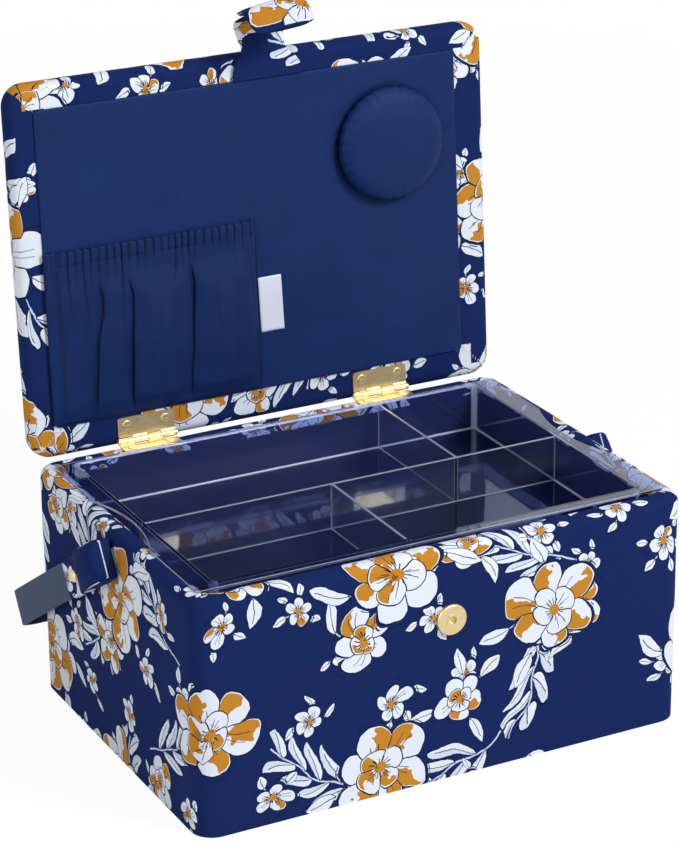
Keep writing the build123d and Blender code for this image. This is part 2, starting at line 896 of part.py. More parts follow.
def strap_snap_disc():
    """Brass disc on the strap's inner face, with the nub that drops into the plate."""
    frame = tip_frame()
    half = strap_thickness / 2
    body = disc(snap_disc_radius, half, half + snap_disc_height)
    body = fillet(body.edges().group_by(Axis.Z)[-1], snap_disc_rounding)
    nub = disc(snap_nub_radius, half, half + snap_disc_height + snap_nub_height)
    nub = fillet(nub.edges().group_by(Axis.Z)[-1], snap_nub_rounding)
    stem = disc(snap_nub_radius, strap_washer_thickness / 2, half + snap_disc_height / 2)
    return frame * (Pos(snap_x - strap_x, snap_reach(), 0) * (body + nub + stem))


def strap_washer():
    radius = snap_disc_radius - strap_washer_edge
    return disc(radius, -strap_washer_thickness / 2, strap_washer_thickness / 2)


def strap_snap_washer():
    frame = tip_frame()
    return frame * (Pos(snap_x - strap_x, snap_reach(), 0) * strap_washer())


# Tray
def tray():
    """One clear moulding: pan, side flanges with finger notches, lips, and dividers."""
    top = rim_height + tray_flange_thickness
    floor = top - tray_depth
    pan = slab(tray_outer_width, tray_outer_depth, tray_corner_radius, floor - tray_wall, top)
    pan = fillet(pan.edges().group_by(Axis.Z)[0], tray_foot_rounding)
    hollow = slab(
        tray_inner_width,
        tray_inner_depth,
        tray_corner_radius - tray_wall,
        floor,
        top + 1,
    )
    hollow = fillet(hollow.edges().group_by(Axis.Z)[0], tray_foot_rounding)
    back_edge = lower_leaf_front - tray_back_lip_gap - tray_center_y
    front_edge = -opening_depth / 2 - tray_lip_seat - tray_center_y
    flange = Box(
        2 * tray_flange_x,
        back_edge - front_edge,
        tray_flange_thickness,
        align=(Align.CENTER, Align.MIN, Align.MIN),
    )
    flange = fillet(flange.edges().filter_by(Axis.Z), flange_corner_radius)
    flange = Pos(0, front_edge, rim_height) * flange
    body = pan + flange - hollow
    half_width = tray_inner_width / 2
    half_depth = tray_inner_depth / 2
    divider_height = top - floor - divider_drop
    long_divider = Pos(0, -tray_center_y, floor) * Box(
        2 * half_width + tray_wall,
        divider_thickness,
        divider_height,
        align=(Align.CENTER, Align.CENTER, Align.MIN),
    )
    rear = Pos(rear_divider_x, -tray_center_y, floor) * Box(
        divider_thickness,
        half_depth + tray_center_y + tray_wall / 2,
        divider_height,
        align=(Align.CENTER, Align.MIN, Align.MIN),
    )
    front = Pos(front_divider_x, -tray_center_y, floor) * Box(
        divider_thickness,
        half_depth - tray_center_y + tray_wall / 2,
        divider_height,
        align=(Align.CENTER, Align.MAX, Align.MIN),
    )
    body = body + long_divider + rear + front
    return Pos(0, tray_center_y, 0) * cut_all(body, finger_notches())


def finger_notches():
    """Shallow arcs in the outer edge of both side flanges."""
    edge = tray_flange_x
    radius = (notch_width**2 / 4 + notch_depth**2) / (2 * notch_depth)
    center = edge - notch_depth + radius
    flange_top = rim_height + tray_flange_thickness
    cut = Pos(center, -tray_center_y, 0) * disc(radius, rim_height - 1, flange_top + 1)
    return [cut, mirrored(cut)]


# Handle
def handle_strap():
    """Leatherette strap: two arms and the run between them, in one U."""
    outer_x = handle_arm_x + handle_strap_thickness / 2
    inner_x = handle_arm_x - handle_strap_thickness / 2
    outer_reach = handle_reach + handle_strap_thickness / 2
    inner_reach = handle_reach - handle_strap_thickness / 2
    outline = Pos(0, strap_in_tab) * Rectangle(
        2 * outer_x, outer_reach - strap_in_tab, align=(Align.CENTER, Align.MIN)
    )
    outline = fillet(outline.vertices().group_by(Axis.Y)[-1], handle_bend_radius + handle_strap_thickness / 2)
    window = Pos(0, strap_in_tab - 1) * Rectangle(
        2 * inner_x, inner_reach - strap_in_tab + 1, align=(Align.CENTER, Align.MIN)
    )
    window = fillet(window.vertices().group_by(Axis.Y)[-1], handle_bend_radius - handle_strap_thickness / 2)
    band = Pos(0, 0, -handle_strap_width / 2) * extrude(outline - window, handle_strap_width)
    holes = Pos(0, rivet_reach, 0) * shaft_x(0, 0, rivet_radius, -outer_x - 1, outer_x + 1)
    return handle_frame * (band - holes)


def tab_inner_x():
    return side_x + washer_thickness + tab_wall_gap


def right_tab():
    """Cloth loop round the pivot, closing onto the strap's end, in the handle's own directions."""
    inner = tab_inner_x()
    loop_outer = inner + tab_loop_thickness
    flat_low = handle_arm_x - handle_strap_thickness / 2 - tab_ply
    flat_high = handle_arm_x + handle_strap_thickness / 2 + tab_ply
    nose = tab_loop_thickness * 0.45
    outline = Polygon(
        (inner, -tab_nose),
        (loop_outer, -tab_nose),
        (loop_outer, tab_loop_end),
        (flat_high, tab_flat_start),
        (flat_high, tab_length),
        (flat_low, tab_length),
        (flat_low, tab_flat_start),
        (inner, tab_loop_end),
        align=None,
    )
    ends = outline.vertices().group_by(Axis.Y)[0]
    outline = fillet(ends, nose)
    body = Pos(0, 0, -tab_width / 2) * extrude(outline, tab_width)
    trim = Rectangle(tab_nose + tab_length, tab_width)
    trim = fillet(trim.vertices().group_by(Axis.X)[0], tab_corner_radius)
    side_view = Plane(origin=(0, 0, 0), x_dir=(0, 1, 0), z_dir=(1, 0, 0))
    trim = side_view * (Pos((tab_length - tab_nose) / 2, 0) * trim)
    body = body & extrude(trim, side_x * 2)
    strap_slot = Box(
        handle_strap_thickness,
        tab_length,
        handle_strap_width,
        align=(Align.CENTER, Align.MIN, Align.CENTER),
    )
    head_reach = inner + pivot_head_reach
    bore = shaft_x(0, 0, pivot_radius + pivot_running_clearance, inner - 1, head_reach)
    head = shaft_x(
        0,
        0,
        pivot_head_radius + pivot_head_clearance,
        head_reach - pivot_head_clearance,
        head_reach + pivot_head_thickness + pivot_head_clearance,
    )
    rivet_hole = Pos(0, rivet_reach, 0) * shaft_x(0, 0, rivet_radius, inner - 2, loop_outer + 2)
    return cut_all(body, [Pos(handle_arm_x, strap_in_tab, 0) * strap_slot, bore, head, rivet_hole])


def handle_tab(side):
    tab = right_tab()
    if side < 0:
        tab = mirrored(tab)
    return handle_frame * tab


def right_pivot():
    """Headed post through the side wall, flanged on the inner side of the board."""
    flange_x = board_inner_width / 2 - pivot_flange_thickness
    head_x = tab_inner_x() + pivot_head_reach
    post = shaft_x(0, pivot_z, pivot_radius, flange_x, head_x + 0.5)
    flange = shaft_x(0, pivot_z, pivot_flange_radius, flange_x, board_inner_width / 2)
    head = shaft_x(0, pivot_z, pivot_head_radius, head_x, head_x + pivot_head_thickness)
    return post + flange + head


def handle_pivots():
    right = right_pivot()
    return group([right, mirrored(right)])


def pivot_washers():
    washer = shaft_x(0, pivot_z, washer_radius, side_x, side_x + washer_thickness)
    washer = washer - shaft_x(0, pivot_z, pivot_radius, side_x - 1, side_x + washer_thickness + 1)
    return group([washer, mirrored(washer)])


def handle_rivets():
    """Brass rivets that hold the tabs on the strap, with domed caps outside."""
    low = handle_arm_x - handle_strap_thickness / 2 - tab_ply
    high = handle_arm_x + handle_strap_thickness / 2 + tab_ply
    shank = shaft_x(0, 0, rivet_radius, low - rivet_flange_thickness, high + 0.2)
    flange = shaft_x(0, 0, rivet_flange_radius, low - rivet_flange_thickness, low)
    cap = shaft_x(0, 0, rivet_cap_radius, high, high + rivet_cap_height)
    cap = fillet(cap.edges().group_by(Axis.X)[-1], rivet_cap_height * 0.85)
    right = Pos(0, rivet_reach, 0) * (shank + flange + cap)
    return group([handle_frame * right, handle_frame * mirrored(right)])


def build_nodes():
    snap_frame = Plane(origin=(snap_x, front_y, snap_z), x_dir=(1, 0, 0), z_dir=(0, -1, 0))
    nodes = dict(walls())
    nodes["base_board"] = base_board()
    nodes["base_cover"] = base_cover()
    nodes["floor_pad"] = floor_pad()
    nodes["rim_wadding"] = rim_wadding()
    nodes["outer_cover"] = outer_cover()
    nodes["inner_lining"] = inner_lining()
    nodes["front_snap_plate"] = snap_frame * snap_plate()
    nodes["front_snap_magnet"] = snap_frame * snap_magnet()
    nodes["front_snap_prongs"] = group(snap_frame * leg for leg in snap_prongs())
    nodes["front_snap_washer"] = snap_frame * snap_washer()
    for name, center in zip(("left", "right"), hinge_centers()):
        nodes["hinge_lower_leaf_" + name] = Pos(center, 0, 0) * lower_leaf()
        nodes["hinge_upper_leaf_" + name] = lid_face * (Pos(center, 0, 0) * upper_leaf())
        nodes["hinge_pin_" + name] = Pos(center, 0, 0) * hinge_pin()
    nodes["hinge_screws_lower"] = lower_screws()
    nodes["hinge_screws_upper"] = upper_screws()
    nodes["lid_board"] = lid_board()
    nodes["lid_padding"] = lid_padding()
    nodes["lid_cover"] = lid_cover()
    nodes["lid_lining_panel"] = lining_panel()
    nodes["accessory_pocket"] = accessory_pocket()
    nodes["pocket_elastic"] = lid_face * elastic_strip(0)
    nodes["label_tab"] = label_tab()
    nodes["pincushion"] = pincushion()
    nodes["strap_base"] = strap_base()
    nodes["strap_root"] = strap_root()
    nodes["strap_tip"] = strap_tip()
    nodes["strap_snap_disc"] = strap_snap_disc()
    nodes["strap_snap_washer"] = strap_snap_washer()
    nodes["tray"] = tray()
    nodes["handle_strap"] = handle_strap()
    nodes["handle_tab_left"] = handle_tab(-1)
    nodes["handle_tab_right"] = handle_tab(1)
    nodes["handle_rivets"] = handle_rivets()
    nodes["handle_pivots"] = handle_pivots()
    nodes["pivot_washers"] = pivot_washers()
    return nodes


os.makedirs("parts", exist_ok=True)
for node_name, shape in build_nodes().items():
    export_step(shape, "parts/" + node_name + ".step")
    print(node_name, round(shape.volume, 1))
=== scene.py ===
import bmesh
import bpy
import math
from functools import partial
from mathutils import Matrix, Vector, noise
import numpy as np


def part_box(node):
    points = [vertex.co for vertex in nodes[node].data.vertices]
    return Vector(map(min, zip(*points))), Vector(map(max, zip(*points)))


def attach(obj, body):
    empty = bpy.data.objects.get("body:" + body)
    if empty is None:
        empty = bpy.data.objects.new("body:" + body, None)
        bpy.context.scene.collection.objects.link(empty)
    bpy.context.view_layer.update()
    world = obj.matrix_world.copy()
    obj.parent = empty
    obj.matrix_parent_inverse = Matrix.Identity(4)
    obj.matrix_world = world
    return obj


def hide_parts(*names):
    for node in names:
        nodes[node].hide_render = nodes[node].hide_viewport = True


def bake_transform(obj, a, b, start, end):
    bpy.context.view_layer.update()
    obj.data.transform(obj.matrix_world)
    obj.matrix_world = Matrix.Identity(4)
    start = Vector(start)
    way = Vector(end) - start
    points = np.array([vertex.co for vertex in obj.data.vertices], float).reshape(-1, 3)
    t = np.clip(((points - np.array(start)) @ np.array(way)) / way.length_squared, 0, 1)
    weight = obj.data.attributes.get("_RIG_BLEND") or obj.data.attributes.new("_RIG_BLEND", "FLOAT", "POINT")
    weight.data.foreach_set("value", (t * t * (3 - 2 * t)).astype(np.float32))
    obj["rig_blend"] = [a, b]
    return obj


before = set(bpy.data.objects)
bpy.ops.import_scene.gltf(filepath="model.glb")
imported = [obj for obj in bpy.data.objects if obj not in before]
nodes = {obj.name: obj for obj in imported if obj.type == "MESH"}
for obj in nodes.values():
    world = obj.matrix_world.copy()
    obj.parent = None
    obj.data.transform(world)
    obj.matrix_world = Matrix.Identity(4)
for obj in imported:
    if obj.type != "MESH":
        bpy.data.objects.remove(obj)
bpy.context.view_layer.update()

scene = bpy.context.scene
mm = 0.001


def hexToLinear(code):
    # sRGB hex to the linear colour that a shader takes
    parts = [int(code[i:i + 2], 16) / 255 for i in (0, 2, 4)]
    return tuple(p / 12.92 if p <= 0.04045 else ((p + 0.055) / 1.055) ** 2.4 for p in parts) + (1.0,)


def plug(tree, socket, value):
    if isinstance(value, bpy.types.Node):
        value = next(out for out in value.outputs if out.enabled)
    if isinstance(value, bpy.types.NodeSocket):
        tree.links.new(value, socket)
    else:
        socket.default_value = hexToLinear(value) if isinstance(value, str) else value


def addNode(tree, kind, *inputs):
    # a kind in capitals is a Math operation, and a vector operation stands after its kind; settings come in a
    # dictionary, lower case for the node and capitalised for a socket; then inputs fill the sockets in order
    settings = {}
    if kind.isupper():
        kind, settings = "Math", {"operation": kind}
    elif kind == "VectorMath" and isinstance(inputs[0], str):
        settings, inputs = {"operation": inputs[0]}, inputs[1:]
    elif inputs and isinstance(inputs[0], dict):
        settings, inputs = inputs[0], inputs[1:]
    node = tree.nodes.new("ShaderNode" + kind)
    for name, value in settings.items():
        if name[0].islower():
            setattr(node, name, value)
        else:
            plug(tree, node.inputs[name], value)
    for socket, value in zip(node.inputs, inputs):
        plug(tree, socket, value)
    return node


def newMaterial(name, finish):
    material = bpy.data.materials.new(name)
    material.use_nodes = True
    tree = material.node_tree
    shader = tree.nodes["Principled BSDF"]
    for socket, value in finish.items():
        plug(tree, shader.inputs[socket], value)
    return material, partial(addNode, tree), partial(plug, tree), shader


def inMillimetres(add, place):
    return add("VectorMath", {"operation": "SCALE", "Scale": 1000.0}, place)


def speckled(name, finish, grain, dark, light, bump=None):
    # a dull stuff, whose grain mixes two colours and may stand out a little
    material, add, wire, shader = newMaterial(name, finish)
    speck = add("TexNoise", grain, add("TexCoord").outputs["Object"])
    wire(shader.inputs["Base Color"], add("MixRGB", speck, dark, light))
    if bump:
        raised = {"Strength": bump[0], "Distance": bump[1], "Height": speck}
        wire(shader.inputs["Normal"], add("Bump", raised))
    return material


def newPiece(name, bm, material, body=None, replaced=()):
    if body in bodyPlace:
        bmesh.ops.transform(bm, matrix=bodyPlace[body], verts=bm.verts)
    mesh = bpy.data.meshes.new(name)
    bm.to_mesh(mesh)
    bm.free()
    mesh.shade_smooth()
    mesh.materials.append(material)
    piece = bpy.data.objects.new(name, mesh)
    scene.collection.objects.link(piece)
    if body:
        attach(piece, body)
    if replaced:
        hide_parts(*replaced)
    return piece


def roundedOutline(bm, width, depth, radius, height=0.0, middle=(0.0, 0.0), segments=6):
    # a flat rounded rectangle, one face
    corners = [
        bm.verts.new((middle[0] + x * width / 2, middle[1] + y * depth / 2, height))
        for x, y in ((-1, -1), (1, -1), (1, 1), (-1, 1))
    ]
    bm.faces.new(corners)
    bmesh.ops.bevel(
        bm, geom=corners, offset=radius, affect="VERTICES", segments=segments, profile=0.5, material=-1
    )


def newVerts(made):
    return [g for g in made["geom"] if isinstance(g, bmesh.types.BMVert)]


def thicken(bm, height):
    # raises the one flat face drawn so far into a slab
    made = bmesh.ops.extrude_face_region(bm, geom=list(bm.faces))
    bmesh.ops.translate(bm, verts=newVerts(made), vec=(0, 0, height))


def drawWall(bm, edges, height):
    made = bmesh.ops.extrude_edge_only(bm, edges=edges)
    bmesh.ops.translate(bm, verts=newVerts(made), vec=(0, 0, height))


def softenEdges(bm, edges, offset, segments):
    bmesh.ops.bevel(bm, geom=edges, offset=offset, affect="EDGES", segments=segments, profile=0.5,
                    material=-1, clamp_overlap=True)


def levelEdges(bm):
    return [e for e in bm.edges if abs(e.verts[0].co.z - e.verts[1].co.z) < 1e-6]


def cutAcross(bm, axis, at):
    point, normal = Vector(), Vector()
    point[axis], normal[axis] = at, 1.0
    bmesh.ops.bisect_plane(bm, geom=bm.verts[:] + bm.edges[:] + bm.faces[:], plane_co=point, plane_no=normal)


def fineGrid(bm, longest):
    # halves the long edges until none is longer
    for step in range(7):
        long = [e for e in bm.edges if e.calc_length() > longest]
        long = [e for e in long if all(len(f.verts) == 4 for f in e.link_faces)]
        if not long:
            break
        bmesh.ops.subdivide_edges(bm, edges=long, cuts=1, use_grid_fill=True)


def layCloth(bm, place):
    sheet = bm.loops.layers.uv.new("cloth")
    for face in bm.faces:
        middle = face.calc_center_median()
        for loop in face.loops:
            loop[sheet].uv = place(loop.vert.co, middle)


def giveThickness(piece, thickness, offset):
    ply = piece.modifiers.new("ply", "SOLIDIFY")
    ply.thickness = thickness
    ply.offset = offset


print("scene: helpers ready")

# Places on the open lid: across, up from its back edge, out of its inner face
lidTurn = math.radians(93.6)
lidMatrix = Matrix((
    (1, 0, 0, 0),
    (0, -math.cos(lidTurn), -math.sin(lidTurn), 0.115899),
    (0, math.sin(lidTurn), -math.cos(lidTurn), 0.148996),
    (0, 0, 0, 1),
))
droop = math.radians(32)
handleMatrix = Matrix((
    (1, 0, 0, 0),
    (0, math.cos(droop), math.sin(droop), 0),
    (0, -math.sin(droop), math.cos(droop), 0.130),
    (0, 0, 0, 1),
))
# pieces of these two bodies are built lying flat, and newPiece puts them in place
bodyPlace = {"lid": lidMatrix, "handle": handleMatrix}

# Camera at the photograph's viewing angle
cameraLook = {"place": (-0.79417, -1.52206, 0.87298), "azimuth": 27.250, "fall": 21.811, "roll": -0.603,
              "lens": 130.94}
camera = bpy.data.objects.new("camera", bpy.data.cameras.new("camera"))
camera.location = cameraLook["place"]
aim = Matrix.Rotation(math.radians(-cameraLook["azimuth"]), 3, "Z")
aim = aim @ Matrix.Rotation(math.radians(90 - cameraLook["fall"]), 3, "X")
camera.rotation_euler = (aim @ Matrix.Rotation(math.radians(cameraLook["roll"]), 3, "Z")).to_euler()
camera.data.lens = cameraLook["lens"]
camera.data.sensor_width = 36
camera.data.clip_end = 20
scene.collection.objects.link(camera)
scene.camera = camera
scene.view_settings.view_transform = "Standard"

# Floor: matt pale paper sweep, which stays near white under the studio light
floorLook = {"colour": "f4f4f2", "reach": 6.0, "white": 0.90, "glow": 1.03, "fadeStart": 1.0, "fadeEnd": 2.6,
             "worldWhite": "ffffff", "worldStrength": 0.28}


def carriesPicture(add):
    # 1 for rays that carry the picture, straight, mirrored or through the tray, and 0 for those that light it
    rays = add("LightPath").outputs
    seen = add("MAXIMUM", rays["Is Camera Ray"], rays["Is Glossy Ray"])
    return add("MAXIMUM", seen, rays["Is Transmission Ray"])


paper, add, wire, shader = newMaterial("paintedStudioFloor", {"Roughness": 0.9, "Specular IOR Level": 0.1})
place = add("TexCoord").outputs["Object"]
grain = add("TexNoise", {"Scale": 6.0, "Detail": 4.0}, place)
shade = add("MapRange", {"To Min": 0.97, "To Max": 1.0}, grain)
wire(shader.inputs["Base Color"], add("MixRGB", {"blend_type": "MULTIPLY"}, 1.0, floorLook["colour"], shade))
glow = add("Emission", {"Color": floorLook["worldWhite"], "Strength": floorLook["glow"]})
# far from the box the sweep runs into the white behind it
far = add("MapRange", {"From Min": floorLook["fadeStart"], "From Max": floorLook["fadeEnd"],
                       "To Min": floorLook["white"]}, add("VectorMath", "LENGTH", place).outputs["Value"])
mixed = add("MixShader", add("MULTIPLY", carriesPicture(add), far), shader, glow)
wire(paper.node_tree.nodes["Material Output"].inputs["Surface"], mixed)
bm = bmesh.new()
bmesh.ops.create_grid(bm, x_segments=2, y_segments=2, size=floorLook["reach"])
floor = newPiece("studioFloor", bm, paper)

world = bpy.data.worlds.new("studioWorld")
scene.world = world
world.use_nodes = True
sky = world.node_tree.nodes["Background"]
sky.inputs["Color"].default_value = hexToLinear(floorLook["worldWhite"])
add = partial(addNode, world.node_tree)
strength = add("MapRange", {"To Min": floorLook["worldStrength"]}, carriesPicture(add))
plug(world.node_tree, sky.inputs["Strength"], strength)

lightLook = {
    "key": {"place": (0.87, -1.56, 1.62), "target": (0, 0, 0.12), "size": 0.6, "power": 38.5},
    "leftFill": {"place": (-1.90, -0.75, 0.9), "target": (0, 0, 0.15), "size": 1.2, "power": 13.0},
    "top": {"place": (0.0, 0.0, 2.0), "target": (0, 0, 0), "size": 1.0, "power": 5.0},
}
for name, look in lightLook.items():
    lamp = bpy.data.objects.new(name, bpy.data.lights.new(name, "AREA"))
    lamp.data.size = look["size"]
    lamp.data.energy = look["power"]
    lamp.location = look["place"]
    aim = Vector(look["target"]) - Vector(look["place"])
    lamp.rotation_euler = aim.to_track_quat("-Z", "Y").to_euler()
    scene.collection.objects.link(lamp)
print("scene: camera, floor and light ready")

# Printed cotton: a plain-weave cloth, screen printed, so flat inks with crisp drawn edges lie on a matt weave
printLook = {"ground": "15275b", "petal": "dfe6f3", "mustard": "c0832b", "line": "0c1330", "stem": "c3d3ec",
             "shadowLine": "101d49", "deepMustard": "8a5717", "leaf": "cdd9ec"}
flowerKinds = [
    # cell and reaches in millimetres; keep is the least chance value at which a leaf is drawn
    {"cell": 45.0, "turn": 0.9, "shift": (0.31, 0.77), "seed": 41.0, "jitter": 0.2, "present": 0.26,
     "petals": 5, "reach": 11.5, "notch": 0.42, "inner": 0, "innerReach": 0.0, "centre": 2.3, "sectors": 6,
     "leafStart": 10.5, "leafEnd": 21.0, "leafWidth": 2.8, "keep": 0.5, "line": 0.5, "gold": 0.86},
    {"cell": 86.0, "turn": -0.55, "shift": (0.12, 0.38), "seed": 17.0, "jitter": 0.12, "present": 0.24,
     "petals": 5, "reach": 20.0, "notch": 0.34, "inner": 3, "innerReach": 10.0, "centre": 2.8, "sectors": 7,
     "leafStart": 17.0, "leafEnd": 39.0, "leafWidth": 4.6, "keep": 0.62, "line": 0.65, "gold": 0.3},
    {"cell": 118.0, "turn": 0.42, "shift": (0.63, 0.21), "seed": 5.0, "jitter": 0.06, "present": 0.0,
     "petals": 6, "reach": 36.0, "notch": 0.3, "inner": 4, "innerReach": 19.0, "centre": 4.2, "sectors": 8,
     "leafStart": 30.0, "leafEnd": 57.0, "leafWidth": 5.8, "keep": 0.64, "line": 0.75, "gold": 0.22},
]


def latticeCell(add, point, kind):
    # a turned lattice with every row shifted: the cell's number, its chances and the place from its middle
    turned = add("VectorRotate", {"rotation_type": "Z_AXIS", "Angle": kind["turn"]}, point)
    scaled = add("VectorMath", "MULTIPLY", turned, (1 / kind["cell"], 1 / kind["cell"], 0))
    parts = add("SeparateXYZ", add("VectorMath", "ADD", scaled, (*kind["shift"], 0))).outputs
    row = add("FLOOR", parts["Y"])
    across = add("ADD", parts["X"], add("MULTIPLY", row, 0.37))
    place = add("CombineXYZ", across, parts["Y"], 0.0)
    number = add("VectorMath", "FLOOR", place)
    chance = add("TexWhiteNoise", {"noise_dimensions": "4D", "W": kind["seed"]}, number)
    middle = add("VectorMath", "ADD", number, (0.5, 0.5, 0))
    sway = add("VectorMath", "SUBTRACT", chance.outputs["Color"], (0.5, 0.5, 0.5))
    sway = add("VectorMath", "MULTIPLY", sway, (kind["jitter"], kind["jitter"], 0))
    local = add("VectorMath", "SUBTRACT", add("VectorMath", "SUBTRACT", place, middle), sway)
    local = add("VectorMath", "MULTIPLY", local, (kind["cell"], kind["cell"], 0))
    return number, chance, local


def stepOf(add, count):
    # the number of the step, and the place across it from -0.5 to 0.5
    index = add("FLOOR", count)
    return index, add("SUBTRACT", add("SUBTRACT", count, index), 0.5)


def sectorOf(add, turn, sectors):
    return stepOf(add, add("FLOORED_MODULO", add("MULTIPLY", turn, sectors), sectors))


def leafHalf(add, share, bluntness, width):
    # half a leaf's width at each share of its length
    return add("MULTIPLY", add("POWER", add("SINE", add("MULTIPLY", share, math.pi)), bluntness), width)


def petalRing(add, number, seed, radius, turn, petals, reach, notch, line, wobble, gold):
    # one ring of drawn petals: 1 inside it and 0 outside, its colour, and the distance in from its outline
    index, lean = sectorOf(add, turn, petals)
    chance = add("TexWhiteNoise", {"noise_dimensions": "4D"}, number, add("ADD", index, seed))
    chances = add("SeparateXYZ", chance.outputs["Color"]).outputs
    side = add("MULTIPLY", add("ABSOLUTE", lean), 2.0)
    dip = add("MULTIPLY", add("POWER", side, 2.6), notch)
    full = add("MapRange", {"To Min": 0.8 * reach, "To Max": 1.04 * reach}, chance.outputs["Value"])
    rim = add("MULTIPLY", full, add("SUBTRACT", 1.0, dip))
    edge = add("SUBTRACT", rim, radius)
    inside = add("GREATER_THAN", edge, 0.0)
    gap = add("MULTIPLY", add("SUBTRACT", 1.0, side), math.pi / petals)
    seam = add("LESS_THAN", add("MULTIPLY", gap, radius), line * 0.55)
    outline = add("LESS_THAN", edge, line)
    # two short vein strokes in each petal
    vein = add("ABSOLUTE", add("SUBTRACT", lean, 0.06))
    vein = add("ABSOLUTE", add("SUBTRACT", vein, 0.11))
    vein = add("MULTIPLY", vein, add("MULTIPLY", radius, 2 * math.pi / petals))
    stroke = add("LESS_THAN", vein, line * 0.32)
    share = add("DIVIDE", radius, full)
    veinEnd = add("MapRange", {"To Min": 0.45, "To Max": 0.8}, chances["X"])
    stroke = add("MULTIPLY", stroke, add("LESS_THAN", share, veinEnd))
    stroke = add("MULTIPLY", stroke, add("GREATER_THAN", share, 0.3))
    ink = add("MAXIMUM", add("MAXIMUM", outline, seam), stroke)
    # mustard lies on one side of most petals, short of the outline
    turnedSide = add("MULTIPLY", add("GREATER_THAN", chances["Y"], 0.5), 2.0)
    field = add("MULTIPLY", lean, add("SUBTRACT", turnedSide, 1.0))
    patch = add("GREATER_THAN", add("ADD", field, add("MULTIPLY", wobble, 0.9)), -0.02)
    patch = add("MULTIPLY", patch, add("GREATER_THAN", add("ADD", share, wobble), 0.36))
    patch = add("MULTIPLY", patch, add("GREATER_THAN", edge, line * 2.0))
    patch = add("MULTIPLY", patch, add("GREATER_THAN", chances["Z"], gold))
    petal = add("MixRGB", patch, printLook["petal"], printLook["mustard"])
    return inside, add("MixRGB", ink, petal, printLook["line"]), edge


sprayLook = {"cell": 82.0, "turn": 1.25, "shift": (0.55, 0.12), "seed": 73.0, "jitter": 0.1, "present": 0.42,
             "spacing": 15.0, "slope": math.radians(38), "leaves": 4, "length": 30.0, "width": 4.3,
             "line": 0.55, "bow": 0.016}


def leafSpray(add, drawn, colour, look):
    # a bowed stem with leaves on both sides in turn; each side is cut in slanting strips, one leaf to a strip
    kind = sprayLook
    stripWidth = kind["spacing"] * math.sin(kind["slope"])
    _, chance, local = latticeCell(add, drawn, kind)
    chances = add("SeparateXYZ", chance.outputs["Color"]).outputs
    angle = add("MULTIPLY", chance.outputs["Value"], 2 * math.pi)
    turned = add("VectorRotate", {"rotation_type": "Z_AXIS", "Angle": angle}, local)
    parts = add("SeparateXYZ", turned).outputs
    along = add("ADD", parts["X"], kind["spacing"] * 2.2)
    bow = add("MULTIPLY", add("SUBTRACT", chances["X"], 0.5), kind["bow"])
    across = add("SUBTRACT", parts["Y"], add("MULTIPLY", add("MULTIPLY", along, along), bow))
    side = add("SIGN", across)
    width = add("ABSOLUTE", across)
    foot = add("SUBTRACT", along, add("DIVIDE", width, math.tan(kind["slope"])))
    foot = add("ADD", foot, add("MULTIPLY", side, kind["spacing"] / 4))
    index, lean = stepOf(add, add("DIVIDE", foot, kind["spacing"]))
    off = add("ABSOLUTE", add("MULTIPLY", lean, stripWidth))
    reach = add("MapRange", {"From Max": kind["leaves"], "To Min": kind["length"],
                             "To Max": kind["length"] * 0.55}, index)
    share = add("DIVIDE", add("DIVIDE", width, math.sin(kind["slope"])), reach)
    share = add("MapRange", share)
    half = add("MINIMUM", leafHalf(add, share, 0.75, kind["width"]), stripWidth * 0.5 - 0.3)
    edge = add("SUBTRACT", half, off)
    there = add("MULTIPLY", add("GREATER_THAN", index, -0.5), add("LESS_THAN", index, kind["leaves"] - 0.5))
    present = add("GREATER_THAN", chances["Z"], kind["present"])
    there = add("MULTIPLY", there, present)
    leaf = add("MULTIPLY", add("GREATER_THAN", edge, 0.0), there)
    rib = add("MULTIPLY", add("LESS_THAN", off, kind["line"] * 0.45), add("LESS_THAN", share, 0.8))
    ink = add("MAXIMUM", add("LESS_THAN", edge, kind["line"]), rib)
    stem = add("LESS_THAN", width, kind["line"])
    stem = add("MULTIPLY", stem, add("COMPARE", along, kind["spacing"] * 1.9, kind["spacing"] * 2.5))
    stem = add("MULTIPLY", stem, present)
    colour = add("MixRGB", stem, colour, look["stem"])
    fill = add("MixRGB", add("GREATER_THAN", lean, 0.0), look["petal"], look["leaf"])
    return add("MixRGB", leaf, colour, add("MixRGB", ink, fill, look["line"]))


